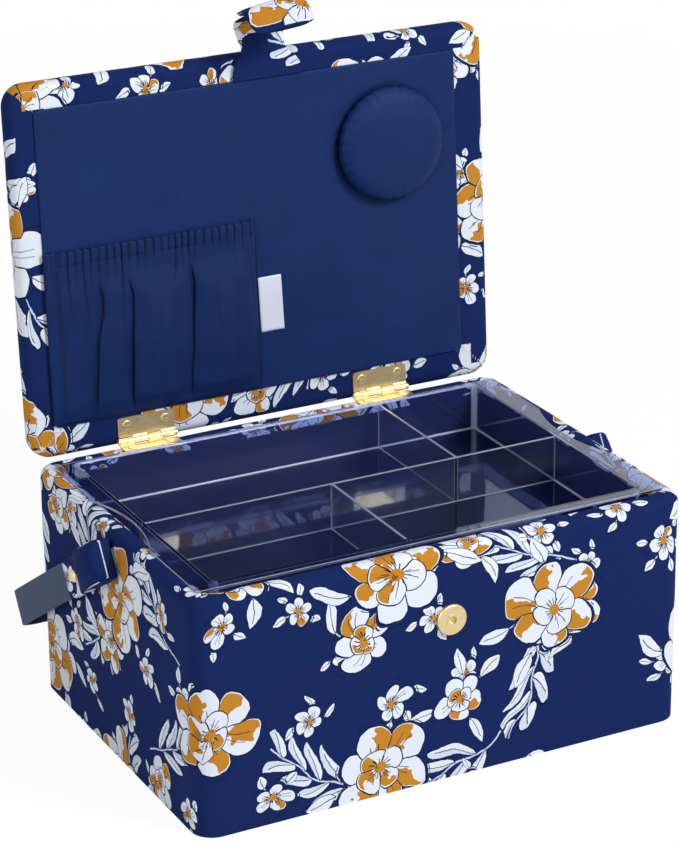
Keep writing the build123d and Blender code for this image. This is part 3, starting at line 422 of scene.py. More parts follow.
def floralColour(add, look):
    flat = inMillimetres(add, add("UVMap", {"uv_map": "cloth"}))
    # the pen wanders slowly by up to 4 mm and trembles by half a millimetre
    slow = add("TexNoise", {"noise_dimensions": "2D", "Scale": 1 / 24, "Detail": 0.0}, flat)
    fine = add("TexNoise", {"noise_dimensions": "2D", "Scale": 1 / 4.5, "Detail": 1.0}, flat)
    drawn = flat
    for wander, reach in ((slow, 8.0), (fine, 0.9)):
        swing = add("VectorMath", "SUBTRACT", wander.outputs["Color"], (0.5, 0.5, 0.5))
        drawn = add("VectorMath", "ADD", drawn, add("VectorMath", "MULTIPLY", swing, (reach, reach, 0)))
    patchNoise = add("TexNoise", {"noise_dimensions": "2D", "Scale": 1 / 8, "Detail": 1.5}, flat)
    wobble = add("MULTIPLY", add("SUBTRACT", patchNoise, 0.5), 0.9)
    colour = leafSpray(add, drawn, look["ground"], look)
    for kind in flowerKinds:
        number, chance, local = latticeCell(add, drawn, kind)
        chances = add("SeparateXYZ", chance.outputs["Color"]).outputs
        parts = add("SeparateXYZ", local).outputs
        grown = add("MapRange", {"To Min": 0.84, "To Max": 1.06}, chance.outputs["Value"])
        radius = add("DIVIDE", add("VectorMath", "LENGTH", local).outputs["Value"], grown)
        angle = add("ARCTAN2", parts["Y"], parts["X"])
        turn = add("ADD", add("MULTIPLY", angle, 0.5 / math.pi), chances["Z"])
        # petals and leaves curl the way of the cell
        curl = add("MULTIPLY", add("SUBTRACT", chances["X"], 0.5), 0.16 / kind["reach"])
        turn = add("ADD", turn, add("MULTIPLY", curl, radius))
        present = add("GREATER_THAN", chances["Z"], kind["present"])

        # leaves behind the flower, some sectors only
        sectors = kind["sectors"]
        index, lean = sectorOf(add, turn, sectors)
        seed = add("ADD", index, kind["seed"] + 300)
        leafChance = add("TexWhiteNoise", {"noise_dimensions": "4D"}, number, seed)
        across = add("MULTIPLY", radius, add("SINE", add("MULTIPLY", lean, 2 * math.pi / sectors)))
        span = {"To Min": 0.86 * kind["leafEnd"], "To Max": kind["leafEnd"]}
        reach = add("MapRange", span, leafChance.outputs["Color"])
        share = add("MapRange", {"From Min": kind["leafStart"], "From Max": reach}, radius)
        width = add("ABSOLUTE", across)
        edge = add("SUBTRACT", leafHalf(add, share, 0.8, kind["leafWidth"]), width)
        leafThere = add("MULTIPLY", add("GREATER_THAN", leafChance.outputs["Value"], kind["keep"]), present)
        leaf = add("MULTIPLY", add("GREATER_THAN", edge, 0.0), leafThere)
        rib = add("MULTIPLY", add("LESS_THAN", width, kind["line"] * 0.4), add("LESS_THAN", share, 0.84))
        leafInk = add("MAXIMUM", add("LESS_THAN", edge, kind["line"] * 0.6), rib)
        stem = add("MULTIPLY", add("LESS_THAN", width, kind["line"] * 0.6), leafThere)
        stem = add("MULTIPLY", stem, add("LESS_THAN", radius, kind["leafStart"] + 3))
        colour = add("MixRGB", stem, colour, look["stem"])
        colour = add("MixRGB", leaf, colour, add("MixRGB", leafInk, look["petal"], look["line"]))

        # the flower: outer ring, inner ring, then its centre
        inside, petal, edge = petalRing(add, number, kind["seed"] + 100, radius, turn, kind["petals"],
                                        kind["reach"], kind["notch"], kind["line"], wobble, kind["gold"])
        ghost = add("COMPARE", edge, -2.6, 0.35)
        ghost = add("MULTIPLY", ghost, add("GREATER_THAN", patchNoise, 0.52))
        ghost = add("MULTIPLY", ghost, present)
        colour = add("MixRGB", ghost, colour, look["shadowLine"])
        # a narrow band of bare ground keeps the flower apart from what lies behind
        bare = add("MULTIPLY", add("GREATER_THAN", edge, -1.5), present)
        colour = add("MixRGB", bare, colour, look["ground"])
        colour = add("MixRGB", add("MULTIPLY", inside, present), colour, petal)
        if kind["inner"]:
            turnIn = add("ADD", turn, 0.5 / kind["petals"] + 0.07)
            inside, petal, _ = petalRing(add, number, kind["seed"] + 200, radius, turnIn, kind["inner"],
                                         kind["innerReach"], kind["notch"] * 0.8, kind["line"], wobble,
                                         kind["gold"] + 0.15)
            colour = add("MixRGB", add("MULTIPLY", inside, present), colour, petal)
        comb = add("FRACT", add("MULTIPLY", turn, 15.0))
        comb = add("ABSOLUTE", add("SUBTRACT", comb, 0.5))
        comb = add("MULTIPLY", comb, add("MULTIPLY", radius, 2 * math.pi / 15))
        comb = add("LESS_THAN", comb, 0.28)
        combEnd = add("MULTIPLY", add("ADD", patchNoise, 0.9), kind["centre"] * 1.35)
        stamens = add("MULTIPLY", comb, add("LESS_THAN", radius, combEnd))
        stamens = add("MULTIPLY", stamens, present)
        colour = add("MixRGB", stamens, colour, look["line"])
        disc = add("MULTIPLY", add("LESS_THAN", radius, kind["centre"]), present)
        speck = add("GREATER_THAN", fine.outputs["Color"], 0.6)
        middle = add("MixRGB", speck, look["mustard"], look["deepMustard"])
        colour = add("MixRGB", disc, colour, middle)
    return colour, flat


def plainWeave(add, flat, spacing):
    # over and under threads; the real 0.25 mm spacing is too fine to show, so it is drawn wider
    scaled = add("VectorMath", {"operation": "SCALE", "Scale": math.pi / spacing}, flat)
    parts = add("SeparateXYZ", scaled).outputs
    ridge = add("MULTIPLY", add("SINE", parts["X"]), add("SINE", parts["Y"]))
    slub = add("TexNoise", {"Scale": 0.9 / spacing, "Detail": 3.0}, flat)
    return add("ADD", add("MULTIPLY", ridge, 0.5), slub)


cotton = {"Roughness": 0.85, "Specular IOR Level": 0.06}
printed, add, wire, shader = newMaterial("screenPrintedCotton", cotton)
colour, flat = floralColour(add, printLook)
weave = plainWeave(add, flat, 0.8)
tone = add("MapRange", {"From Min": -0.2, "From Max": 1.3, "To Min": 0.88, "To Max": 1.06}, weave)
cloudy = add("TexNoise", {"Scale": 1 / 60, "Detail": 2.0}, flat)
tone = add("MULTIPLY", tone, add("MapRange", {"To Min": 0.93, "To Max": 1.07}, cloudy))
wire(shader.inputs["Base Color"], add("MixRGB", {"blend_type": "MULTIPLY"}, 1.0, colour, tone))
ripple = add("TexNoise", {"Scale": 1 / 22, "Detail": 2.0}, flat)
height = add("ADD", add("MULTIPLY", weave, 0.06), add("MULTIPLY", ripple, 0.9))
wire(shader.inputs["Normal"], add("Bump", {"Strength": 0.35, "Distance": 0.001, "Height": height}))

# Navy lining: fine plain-weave cotton with a calendered face, so a soft broad shine
# the darkest navy here is painted shade, mixed in where folds and seams lie
liningLook = {"colour": "132d62", "deep": "0f2555", "fold": "040a1c", "foldShare": 0.75}
lining, add, wire, shader = newMaterial("navyCottonLining", {"Roughness": 0.55, "Specular IOR Level": 0.12})
flat = inMillimetres(add, add("TexCoord").outputs["Object"])
slubs = []
for stretch in ((1.0, 0.06, 1.0), (0.06, 1.0, 0.06)):
    threads = add("VectorMath", "MULTIPLY", flat, stretch)
    slubs.append(add("TexNoise", {"Scale": 0.9, "Detail": 3.0}, threads))
weave = add("ADD", *slubs)
cloudy = add("TexNoise", {"Scale": 1 / 45, "Detail": 3.0}, flat)
mixed = add("ADD", add("MULTIPLY", weave, 0.5), add("MULTIPLY", cloudy, 0.6))
tone = add("MapRange", {"From Min": 0.55, "From Max": 1.05}, mixed)
colour = add("MixRGB", tone, liningLook["deep"], liningLook["colour"])
# the layer says how much painted shade each place takes: deep in the pocket's folds and gathers, round the
# pincushion's foot and low on the cushion
crease = add("Attribute", {"attribute_name": "crease"}).outputs["Fac"]
folded = add("MULTIPLY", crease, liningLook["foldShare"])
wire(shader.inputs["Base Color"], add("MixRGB", folded, colour, liningLook["fold"]))
wire(shader.inputs["Normal"], add("Bump", {"Strength": 0.3, "Distance": 0.0003, "Height": weave}))
print("scene: printed cotton and lining ready")

# Outer cover: printed cloth drawn over the padded walls and the rim, and turned in
coverLook = {"width": 0.325, "depth": 0.235, "height": 0.149, "corner": 0.014, "wall": 0.014,
             "innerCorner": 0.006, "rimRounding": 0.006, "turnIn": 0.0063, "puff": 0.00035, "grid": 0.011}


def aroundBox(x, y):
    # distance round the walls, counted from the back left corner down the left side
    r = coverLook["corner"]
    hx, hy, bend = coverLook["width"] / 2 - r, coverLook["depth"] / 2 - r, r * math.pi / 2
    outX, outY = abs(x) - hx, abs(y) - hy
    if outX > 0 and outY > 0:
        angle = math.atan2(outY, outX) / (math.pi / 2)
        if x < 0:
            return 2 * hy + bend * angle if y < 0 else -bend * angle
        front = 2 * hy + bend + 2 * hx
        return front + bend * (1 - angle) if y < 0 else front + bend + 2 * hy + bend * angle
    if outX >= outY:
        return hy - y if x < 0 else 2 * hy + 2 * hx + 2 * bend + (y + hy)
    if y < 0:
        return 2 * hy + bend + (x + hx)
    return 4 * hy + 2 * hx + 3 * bend + (hx - x)


def coverPlace(point, middle):
    width, depth, corner = coverLook["width"], coverLook["depth"], coverLook["corner"]
    total = 2 * (width + depth) - 8 * corner + 2 * math.pi * corner
    here, centre = aroundBox(point.x, point.y), aroundBox(middle.x, middle.y)
    if here - centre > total / 2:
        here -= total
    if centre - here > total / 2:
        here += total
    inward = min(width / 2 - abs(point.x), depth / 2 - abs(point.y))
    inward = max(0.0, min(coverLook["wall"], inward))
    if inward > coverLook["wall"] / 2:
        return here, coverLook["height"] + inward + (coverLook["height"] - point.z)
    return here, point.z + inward


bm = bmesh.new()
look = coverLook
roundedOutline(bm, look["width"], look["depth"], look["corner"], look["height"], segments=8)
outerEdges = list(bm.edges)
inner = (look["width"] - 2 * look["wall"], look["depth"] - 2 * look["wall"])
roundedOutline(bm, *inner, look["innerCorner"], look["height"], segments=8)
innerEdges = [e for e in bm.edges if e not in outerEdges]
bmesh.ops.delete(bm, geom=list(bm.faces), context="FACES_ONLY")
bmesh.ops.bridge_loops(bm, edges=outerEdges + innerEdges)
drawWall(bm, outerEdges, -look["height"])
drawWall(bm, innerEdges, -look["turnIn"])
softenEdges(bm, outerEdges + innerEdges, look["rimRounding"], 5)
bmesh.ops.recalc_face_normals(bm, faces=bm.faces)
fineGrid(bm, look["grid"])
bm.normal_update()
for vert in bm.verts:
    if vert.co.z > 0.002:
        vert.co += vert.normal * look["puff"] * noise.noise(vert.co * 28)
layCloth(bm, coverPlace)
cover = newPiece("printedCover", bm, printed, "box", ["outer_cover"])
print("scene: outer cover ready")

# Lid cover: printed cloth over the padded lid, turned in and mitred at the corners
lidLook = {"width": 0.325, "depth": 0.235, "thickness": 0.017, "corner": 0.014, "rounding": 0.007,
           "turnIn": 0.023, "crown": 0.0018, "crownReach": 0.03, "cuts": 9}


def lidPlace(point, middle):
    # the cloth is one flat piece: the middle is the lid's outer face, and each side folds round its own edge
    halves, thick = (lidLook["width"] / 2, lidLook["depth"] / 2), lidLook["thickness"]
    place, centre = [point.x, point.y - halves[1]], (middle.x, middle.y - halves[1])
    beyond = [abs(c) - half for c, half in zip(centre, halves)]
    if not (middle.z < 0.0005 - thick and max(beyond) < -lidLook["rounding"]):
        axis = 0 if beyond[0] > beyond[1] else 1
        half, rise = halves[axis], point.z + thick
        inward = half - abs(place[axis])
        if rise > thick - 0.0004:
            out = half + thick + inward * 0.98 - 0.0028
        else:
            out = half - inward * 0.6 + rise
        place[axis] = math.copysign(out, centre[axis])
    return place[0] + 0.4, place[1] + 0.3


bm = bmesh.new()
look = lidLook
half = look["depth"] / 2
roundedOutline(bm, look["width"], look["depth"], look["corner"], -look["thickness"], (0, half), 8)
thicken(bm, look["thickness"])
softenEdges(bm, levelEdges(bm), look["rounding"], 5)
# cut into even strips both ways, with a cut on each line where the cloth ends under the panel
reachX, reachY = look["width"] / 2 - look["turnIn"], half - look["turnIn"]
for axis, reach, middle in ((0, reachX, 0.0), (1, reachY, half)):
    cuts = [middle + reach * step / look["cuts"] for step in range(-look["cuts"], look["cuts"] + 1)]
    outside = [middle + side * (reach + extra) for side in (-1, 1) for extra in (0.008, 0.014)]
    for cut in cuts + outside:
        cutAcross(bm, axis, cut)
under = []
for face in bm.faces:
    spot = face.calc_center_median()
    if spot.z > -1e-5 and abs(spot.x) < reachX and abs(spot.y - half) < reachY:
        under.append(face)
bmesh.ops.delete(bm, geom=under, context="FACES")
bmesh.ops.recalc_face_normals(bm, faces=bm.faces)
for vert in bm.verts:
    # the wadding lifts the outer face, steeply at its edge and hardly at its middle
    if vert.co.z < 1e-5 - look["thickness"]:
        inward = min(look["width"] / 2 - abs(vert.co.x), half - abs(vert.co.y - half)) - look["rounding"]
        vert.co.z -= look["crown"] * (1 - math.exp(-max(0.0, inward) / look["crownReach"]))
layCloth(bm, lidPlace)
lidCover = newPiece("printedLidCover", bm, printed, "lid", ["lid_cover"])
print("scene: lid cover ready")

# Raw cotton edge: unprinted warp and weft ends, off-white and slightly hairy
rawEdge = speckled("frayedCottonEdge", {"Roughness": 0.95}, {"Scale": 1600.0, "Detail": 3.0},
                   "b9c2d8", "f2f4f8", (0.5, 0.0003))

# Mitred corners: the folded cloth meets there, and a few bare threads stand out of the join
mitreLook = {"step": 0.0017, "length": 0.0022, "radius": 0.00022, "inset": 0.0085}
bm = bmesh.new()
for side, climb, count in ((-1, 0.0, 9), (1, 0.0, 9), (-1, 0.235, 6), (1, 0.235, 5)):
    inward = 1 if climb == 0 else -1
    corner = lidLook["width"] / 2 - mitreLook["inset"]
    foot = Vector((side * corner, climb + inward * mitreLook["inset"], 0.0002))
    for index in range(count):
        along = mitreLook["step"] * (index + 0.4 * noise.noise((index, side, climb)))
        swing = Matrix.Rotation(2.4 * noise.noise((index * 1.7, side, climb * 9)), 4, "Y")
        place = Matrix.Translation(foot + Vector((-side, inward, 0)) * along)
        bmesh.ops.create_cone(bm, cap_ends=True, segments=5, radius1=mitreLook["radius"],
                              radius2=mitreLook["radius"] * 0.5, depth=mitreLook["length"],
                              matrix=place @ Matrix.Rotation(math.pi / 2, 4, "X") @ swing)
newPiece("mitreThreads", bm, rawEdge, "lid")

# Lining panel on the lid: cloth-covered card with thin wadding, with painted shade in a ring round the
# pincushion's foot
panelLook = {"left": -0.147, "right": 0.140, "low": 0.020, "high": 0.2195, "thickness": 0.0015,
             "corner": 0.003, "rounding": 0.0009, "step": 0.002, "paintedShadeReach": 0.0016}
cushionLook = {"x": 0.0905, "climb": 0.1665, "radius": 0.0365, "pucker": 0.00038, "puckers": 31,
               "slack": 0.0007}
bm = bmesh.new()
look = panelLook
middle = ((look["left"] + look["right"]) / 2, (look["low"] + look["high"]) / 2)
roundedOutline(bm, look["right"] - look["left"], look["high"] - look["low"], look["corner"], 0.0, middle, 4)
thicken(bm, look["thickness"])
rim = [e for e in bm.edges if min(v.co.z for v in e.verts) > look["thickness"] - 1e-6]
softenEdges(bm, rim, look["rounding"], 3)
for axis, low, high in ((0, look["left"], look["right"]), (1, look["low"], look["high"])):
    count = round((high - low) / look["step"])
    for step in range(1, count):
        cutAcross(bm, axis, low + (high - low) * step / count)
crease = bm.verts.layers.float.new("crease")
# painted shade round the pincushion's foot, fading out within a couple of millimetres
for vert in bm.verts:
    far = math.hypot(vert.co.x - cushionLook["x"], vert.co.y - cushionLook["climb"]) - cushionLook["radius"]
    vert[crease] = 0.9 * math.exp(-max(0.0, far) / look["paintedShadeReach"])
bmesh.ops.recalc_face_normals(bm, faces=bm.faces)
panel = newPiece("liningPanel", bm, lining, "lid", ["lid_lining_panel"])

# Pocket: one flat cloth gathered onto elastic; folds hang from the gathers, and the sides are sewn down
# from the levels on it is in millimetres: where three deep folds run, how high the cloth swells between them
# and how far it leans over them
pocketLook = {
    "left": -0.148, "right": -0.0055, "low": 0.022, "high": 0.131, "hem": 0.1225,
    "levels": (0.0, 12.0, 40.0, 74.0, 92.0, 100.5),
    "shade": (29.0, 30.0, 32.0, 38.0, 34.0, 33.0),
    "leftFold": (54.0, 54.5, 56.0, 58.0, 53.0, 51.0),
    "rightFold": (94.0, 95.0, 98.0, 100.0, 97.0, 96.0),
    "swell": (1.0, 5.6, 7.0, 5.0, 1.2, 0.9),
    "lean": (0.8, 3.0, 3.8, 3.0, 1.0, 0.4),
    "gatherPitch": 5.1, "gatherDepth": 1.3, "foldPitch": 12.5, "leanReach": 10.0,
    # millimetres left over the panel where the tray's flange and dividers lie when the lid is shut
    "flange": 8.5, "flangeRoom": 1.2, "longDivider": 94, "crossDivider": 132, "dividerRoom": 2.4,
}


def between(levels, values, at):
    for low, high, first, second in zip(levels[:-1], levels[1:], values[:-1], values[1:]):
        if at <= high:
            share = max(0.0, (at - low) / (high - low))
            return first + (second - first) * (3 * share ** 2 - 2 * share ** 3)
    return values[-1]


def softLeast(a, b, blur=0.35):
    # the lesser of two heights, with the change from one to the other rounded off
    return min(a, b) - blur * math.log1p(math.exp(-abs(a - b) / blur))


def pocketHeight(x, climb):
    # millimetres from the pocket's left and low edges; gives the height over the panel
    look = pocketLook
    width = (look["right"] - look["left"]) / mm
    hemLow = (look["hem"] - look["low"]) / mm
    levels = look["levels"]
    folds = [between(levels, look[name], climb) for name in ("shade", "leftFold", "rightFold")]
    stops = [0.0] + folds + [width]
    swell = between(levels, look["swell"], climb)
    height = 0.35
    for index, (low, high) in enumerate(zip(stops[:-1], stops[1:])):
        if low <= x <= high:
            share = min(1.0, (high - low) / 38.0) * (0.5 if index == 0 else 1.0)
            along = (x - low) / (high - low)
            height += swell * share * max(0.0, math.sin(math.pi * along ** 0.72)) ** 0.8
    drift = 2.4 * noise.noise((x * 0.045, climb * 0.012, 3.1))
    phase = 2 * math.pi * (x + drift) / look["gatherPitch"]
    strength = 0.55 + 0.9 * noise.noise((x * 0.11, 1.7, 0.4)) ** 2
    if climb >= hemLow:
        wave = look["gatherDepth"] * (0.62 + 0.38 * strength)
    else:
        wave = look["gatherDepth"] * math.exp(-(hemLow - climb) / 17) * strength * 1.25
    height += wave * 1.5 * abs(math.sin(phase / 2)) ** 0.75
    # the gathers run together into wider soft folds lower down
    below = max(0.0, hemLow - climb)
    wide = 1.5 * math.exp(-below / 34) * (1 - math.exp(-below / 9))
    drift = 4.5 * noise.noise((x * 0.03, climb * 0.02, 7.7))
    height += wide * 1.4 * abs(math.sin(math.pi * (x + drift) / look["foldPitch"])) ** 0.7
    height += 0.5 * (noise.noise((x * 0.05, climb * 0.035, 1.1)) + 0.4) * (1 if climb < hemLow else 0.3)
    seam = math.exp(-((climb - hemLow) / 0.55) ** 2)
    height -= 0.42 * seam
    if climb > hemLow:
        height += 0.55
    side = min(x, width - x)
    height *= 1 - 0.86 * math.exp(-(side / 2.0) ** 2)
    height *= min(1.0, 0.5 + climb / 4.0)
    height = softLeast(height, look["flangeRoom"] + 0.5 * max(0.0, x - look["flange"]))
    away = max(0.0, abs(climb - look["longDivider"]) - 3)
    height = softLeast(height, look["dividerRoom"] + 0.16 * away)
    away = max(0.0, abs(x - look["crossDivider"]) - 3, look["longDivider"] - 2 - climb)
    height = softLeast(height, look["dividerRoom"] + 0.25 * away)
    return max(0.12, height)


def pocketLean(x, climb):
    # the cloth right of each fold line rolls back over it, so the fold holds a real shadow
    look = pocketLook
    lean, most = 0.0, between(look["levels"], look["lean"], climb)
    for name, share in (("shade", 0.25), ("leftFold", 0.65), ("rightFold", 1.0)):
        gap = x - between(look["levels"], look[name], climb)
        if 0 < gap < look["leanReach"]:
            lean -= share * most * math.sin(math.pi * (1 - gap / look["leanReach"]) ** 2.2)
    return lean


bm = bmesh.new()
look = pocketLook
bmesh.ops.create_grid(bm, x_segments=260, y_segments=110, size=0.5)
width, length = look["right"] - look["left"], look["high"] - look["low"]
for vert in bm.verts:
    across, up = (vert.co.x + 0.5) * width, (vert.co.y + 0.5) * length
    lean, lift = mm * pocketLean(across / mm, up / mm), mm * pocketHeight(across / mm, up / mm)
    vert.co = (look["left"] + across + lean, look["low"] + up, panelLook["thickness"] + lift)
    if up > length - 0.0005:
        vert.co.y += 0.0005 * math.sin(across / mm * 1.23) + 0.0004 * noise.noise((across * 160, 0, 0))
crease = bm.verts.layers.float.new("crease")
for vert in bm.verts:
    # painted shade: how far the cloth here lies below that 2 and 4 mm to each side, and in the gathers 1.3 mm
    # to each side, over a little painted shade on the whole pocket
    across, up = (vert.co.x - look["left"]) / mm, (vert.co.y - look["low"]) / mm
    sides = sum(pocketHeight(across + away, up) for away in (-4, 4, -2, 2)) / 4
    near = sum(pocketHeight(across + away, up) for away in (-1.3, 1.3)) / 2
    here = (vert.co.z - panelLook["thickness"]) / mm
    gathered = math.exp(-max(0.0, (look["hem"] - look["low"]) / mm - up) / 11)
    vert[crease] = min(1.0, 0.16 + max(0.0, (sides - here) / 1.5) + gathered * max(0.0, (near - here) / 0.45))
pocket = newPiece("gatheredPocket", bm, lining, "lid", ["accessory_pocket", "pocket_elastic"])
giveThickness(pocket, 0.0005, 1.0)
print("scene: lining panel and pocket ready")

# Pincushion: stuffed round cushion, sewn down at its foot
# half its section, millimetres out from the middle and up
profile = ((32.6, 0.0), (34.4, 0.5), (35.9, 1.7), (36.5, 3.4), (36.4, 5.2), (35.5, 7.2), (33.6, 9.0),
           (30.6, 10.4), (26.0, 11.5), (20.0, 12.4), (12.0, 13.1), (5.0, 13.4), (0.0, 13.4))
bm = bmesh.new()
points = [bm.verts.new((r * mm, 0, h * mm)) for r, h in profile]
edges = [bm.edges.new(pair) for pair in zip(points[:-1], points[1:])]
bmesh.ops.spin(bm, geom=points + edges, cent=(0, 0, 0), axis=(0, 0, 1), angle=2 * math.pi, steps=120,
               use_merge=True)
bmesh.ops.remove_doubles(bm, verts=bm.verts, dist=1e-5)
bmesh.ops.recalc_face_normals(bm, faces=bm.faces)
for vert in bm.verts:
    angle = math.atan2(vert.co.y, vert.co.x)
    share = math.hypot(vert.co.x, vert.co.y) / cushionLook["radius"]
    drift = 3 * noise.noise((math.cos(angle) * 2, math.sin(angle) * 2, 5))
    pucker = math.sin(angle * cushionLook["puckers"] + drift)
    depth = cushionLook["pucker"] * max(0.0, share - 0.72) / 0.28 * pucker
    soft = cushionLook["slack"] * noise.noise(vert.co * 55)
    if vert.co.z > 0.0001:
        vert.co += vert.co.normalized() * depth
        vert.co.z += soft * (1 - 0.5 * share)
# painted shade, darker towards the cushion's foot
crease = bm.verts.layers.float.new("crease")
for vert in bm.verts:
    vert[crease] = min(1.0, max(0.0, 1.15 - vert.co.z / 0.006))
place = (cushionLook["x"], cushionLook["climb"], panelLook["thickness"])
bmesh.ops.translate(bm, verts=bm.verts, vec=place)
cushion = newPiece("stuffedPincushion", bm, lining, "lid", ["pincushion"])

# Label: bare woven ribbon, sewn in beside the pocket
ribbonLook = {"x": 0.0029, "climb": 0.0755, "width": 0.0154, "length": 0.036, "turn": 2.0, "colour": "dde1f2",
              "deep": "cfd4e8"}
ribbon, add, wire, shader = newMaterial("whiteSatinRibbon", {"Roughness": 0.5, "Sheen Weight": 0.2})
flat = inMillimetres(add, add("TexCoord").outputs["Object"])
weft = add("TexWave", {"Scale": 0.9, "Distortion": 0.6, "bands_direction": "Z"}, flat)
wire(shader.inputs["Base Color"], add("MixRGB", weft, ribbonLook["deep"], ribbonLook["colour"]))
wire(shader.inputs["Normal"], add("Bump", {"Strength": 0.2, "Distance": 0.0002, "Height": weft}))
bm = bmesh.new()
look = ribbonLook
bmesh.ops.create_grid(bm, x_segments=10, y_segments=24, size=0.5)
for vert in bm.verts:
    x, y = vert.co.x * look["width"], vert.co.y * look["length"]
    lift = 0.0009 + 0.0014 * (vert.co.x + 0.5) ** 2 + 0.0004 * math.sin(y * 120)
    vert.co = (x, y, lift)
turn = Matrix.Rotation(math.radians(look["turn"]), 3, "Z")
bmesh.ops.rotate(bm, verts=bm.verts, cent=(0, 0, 0), matrix=turn)
bmesh.ops.translate(bm, verts=bm.verts, vec=(look["x"], look["climb"], panelLook["thickness"]))
label = newPiece("ribbonLabel", bm, ribbon, "lid", ["label_tab"])
giveThickness(label, 0.0005, -1.0)
print("scene: pincushion and label ready")

# Brass: stamped and brushed sheet, lightly lacquered, so pale gold with fine streaks and patches of tarnish
brassLook = {"light": "f4e4b8", "dark": "cdb076", "tarnish": "a0834a"}
brass, add, wire, shader = newMaterial("brushedBrassSheet", {
    "Metallic": 1.0, "Coat Weight": 0.15, "Coat Roughness": 0.3,
})
flat = inMillimetres(add, add("TexCoord").outputs["Object"])
streak = add("TexNoise", {"Scale": 2.2, "Detail": 4.0}, add("VectorMath", "MULTIPLY", flat, (0.05, 1.6, 1.6)))
patina = add("TexNoise", {"Scale": 0.16, "Detail": 5.0}, flat)
tone = add("MixRGB", streak, brassLook["dark"], brassLook["light"])
worn = add("MapRange", {"From Min": 0.6, "From Max": 0.9}, patina)
wire(shader.inputs["Base Color"], add("MixRGB", worn, tone, brassLook["tarnish"]))
wire(shader.inputs["Roughness"], add("MapRange", {"To Min": 0.3, "To Max": 0.48}, streak))
wire(shader.inputs["Normal"], add("Bump", {"Strength": 0.12, "Distance": 0.0002, "Height": streak}))

# Zinc-plated steel: hidden washers and pivots, dull grey with a faint bloom
steel, add, wire, shader = newMaterial("zincPlatedSteel", {"Metallic": 1.0})
bloom = add("TexNoise", {"Scale": 900.0, "Detail": 4.0}, add("TexCoord").outputs["Object"])
wire(shader.inputs["Base Color"], add("MixRGB", bloom, "8f9296", "b9bcc0"))
wire(shader.inputs["Roughness"], add("MapRange", {"To Min": 0.3, "To Max": 0.5}, bloom))

# Grey board: pressed paper pulp, matt and speckled
board = speckled("pressedGreyBoard", {"Roughness": 0.95}, {"Scale": 700.0, "Detail": 6.0}, "8b8478", "a59d8f")

# Wadding: carded polyester, white and fluffy
wadding = speckled("cardedWadding", {"Roughness": 1.0, "Sheen Weight": 0.6}, {"Scale": 260.0, "Detail": 8.0},
                   "d9dcdf", "f3f4f4", (0.5, 0.0006))

# Base cloth: black bonded fibre felt, matt with short loose fibres
felt = speckled("bondedFibreFelt", {"Roughness": 0.95, "Sheen Weight": 0.25},
                {"Scale": 900.0, "Detail": 6.0, "Distortion": 1.5}, "0f1120", "1f2338", (0.4, 0.0003))

# Ferrite magnet: fired black powder, dull
ferrite = speckled("firedFerrite", {"Roughness": 0.6}, {"Scale": 1500.0, "Detail": 3.0}, "1b1b1e", "2c2c30")

# Clear polystyrene: injection moulded, so glossy with faint flow lines; rounded edges and dividers' tops
# carry a painted violet highlight
trayLook = {"tint": "bcc8e8", "edge": "c4c9e2", "lampShare": "8c90a2", "wallClearness": 0.986,
            "edgeClearness": 0.55, "rounding": 0.00035, "dividerTop": 0.1475, "innerHalf": (0.139, 0.098)}
styrene, add, wire, shader = newMaterial("clearMouldedPolystyrene", {
    "Base Color": trayLook["tint"], "Transmission Weight": 1.0, "IOR": 1.5, "Roughness": 0.03,
})
flow = add("TexNoise", {"Scale": 22.0, "Detail": 2.0}, add("TexCoord").outputs["Object"])
wire(shader.inputs["Normal"], add("Bump", {"Strength": 0.04, "Distance": 0.001, "Height": flow}))
# upright walls carry a faint painted lavender reflection, the floor stays clear
level = add("ABSOLUTE", add("SeparateXYZ", add("TexCoord").outputs["Normal"]).outputs["Z"])
clearness = add("MapRange", {"From Min": 0.3, "From Max": 0.7, "To Min": trayLook["wallClearness"]}, level)
wire(shader.inputs["Transmission Weight"], clearness)

# painted highlight: part lavender diffuse instead of clear, so the edges read light
paintedHighlightPlastic, add, wire, shader = newMaterial("paintedHighlightPolystyreneEdge", {
    "Base Color": trayLook["edge"], "Transmission Weight": trayLook["edgeClearness"], "IOR": 1.5,
    "Roughness": 0.2,
})
glint = add("TexNoise", {"Scale": 60.0, "Detail": 2.0}, add("TexCoord").outputs["Object"])
wire(shader.inputs["Normal"], add("Bump", {"Strength": 0.1, "Distance": 0.0004, "Height": glint}))
for plastic in (styrene, paintedHighlightPlastic):
    # lamp light passes through the clear walls, so the lining under the tray is lit
    tree = plastic.node_tree
    clear = addNode(tree, "BsdfTransparent", {"Color": trayLook["lampShare"]})
    mixed = addNode(tree, "MixShader", addNode(tree, "LightPath").outputs["Is Shadow Ray"],
                    tree.nodes["Principled BSDF"], clear)
    plug(tree, tree.nodes["Material Output"].inputs["Surface"], mixed)

# Leatherette: slate grey embossed vinyl, with a fine pebbled grain and a low sheen
vinylLook = {"face": "364868", "deep": "2b3a56"}
vinyl, add, wire, shader = newMaterial("embossedVinyl", {"Roughness": 0.55, "Specular IOR Level": 0.12})
flat = inMillimetres(add, add("TexCoord").outputs["Object"])
pebble = add("TexVoronoi", {"feature": "DISTANCE_TO_EDGE", "Scale": 0.85}, flat)
grainHeight = add("MapRange", {"From Max": 0.22}, pebble)
wire(shader.inputs["Base Color"], add("MixRGB", grainHeight, vinylLook["deep"], vinylLook["face"]))
wire(shader.inputs["Normal"], add("Bump", {"Strength": 0.35, "Distance": 0.0003, "Height": grainHeight}))
print("scene: materials ready")

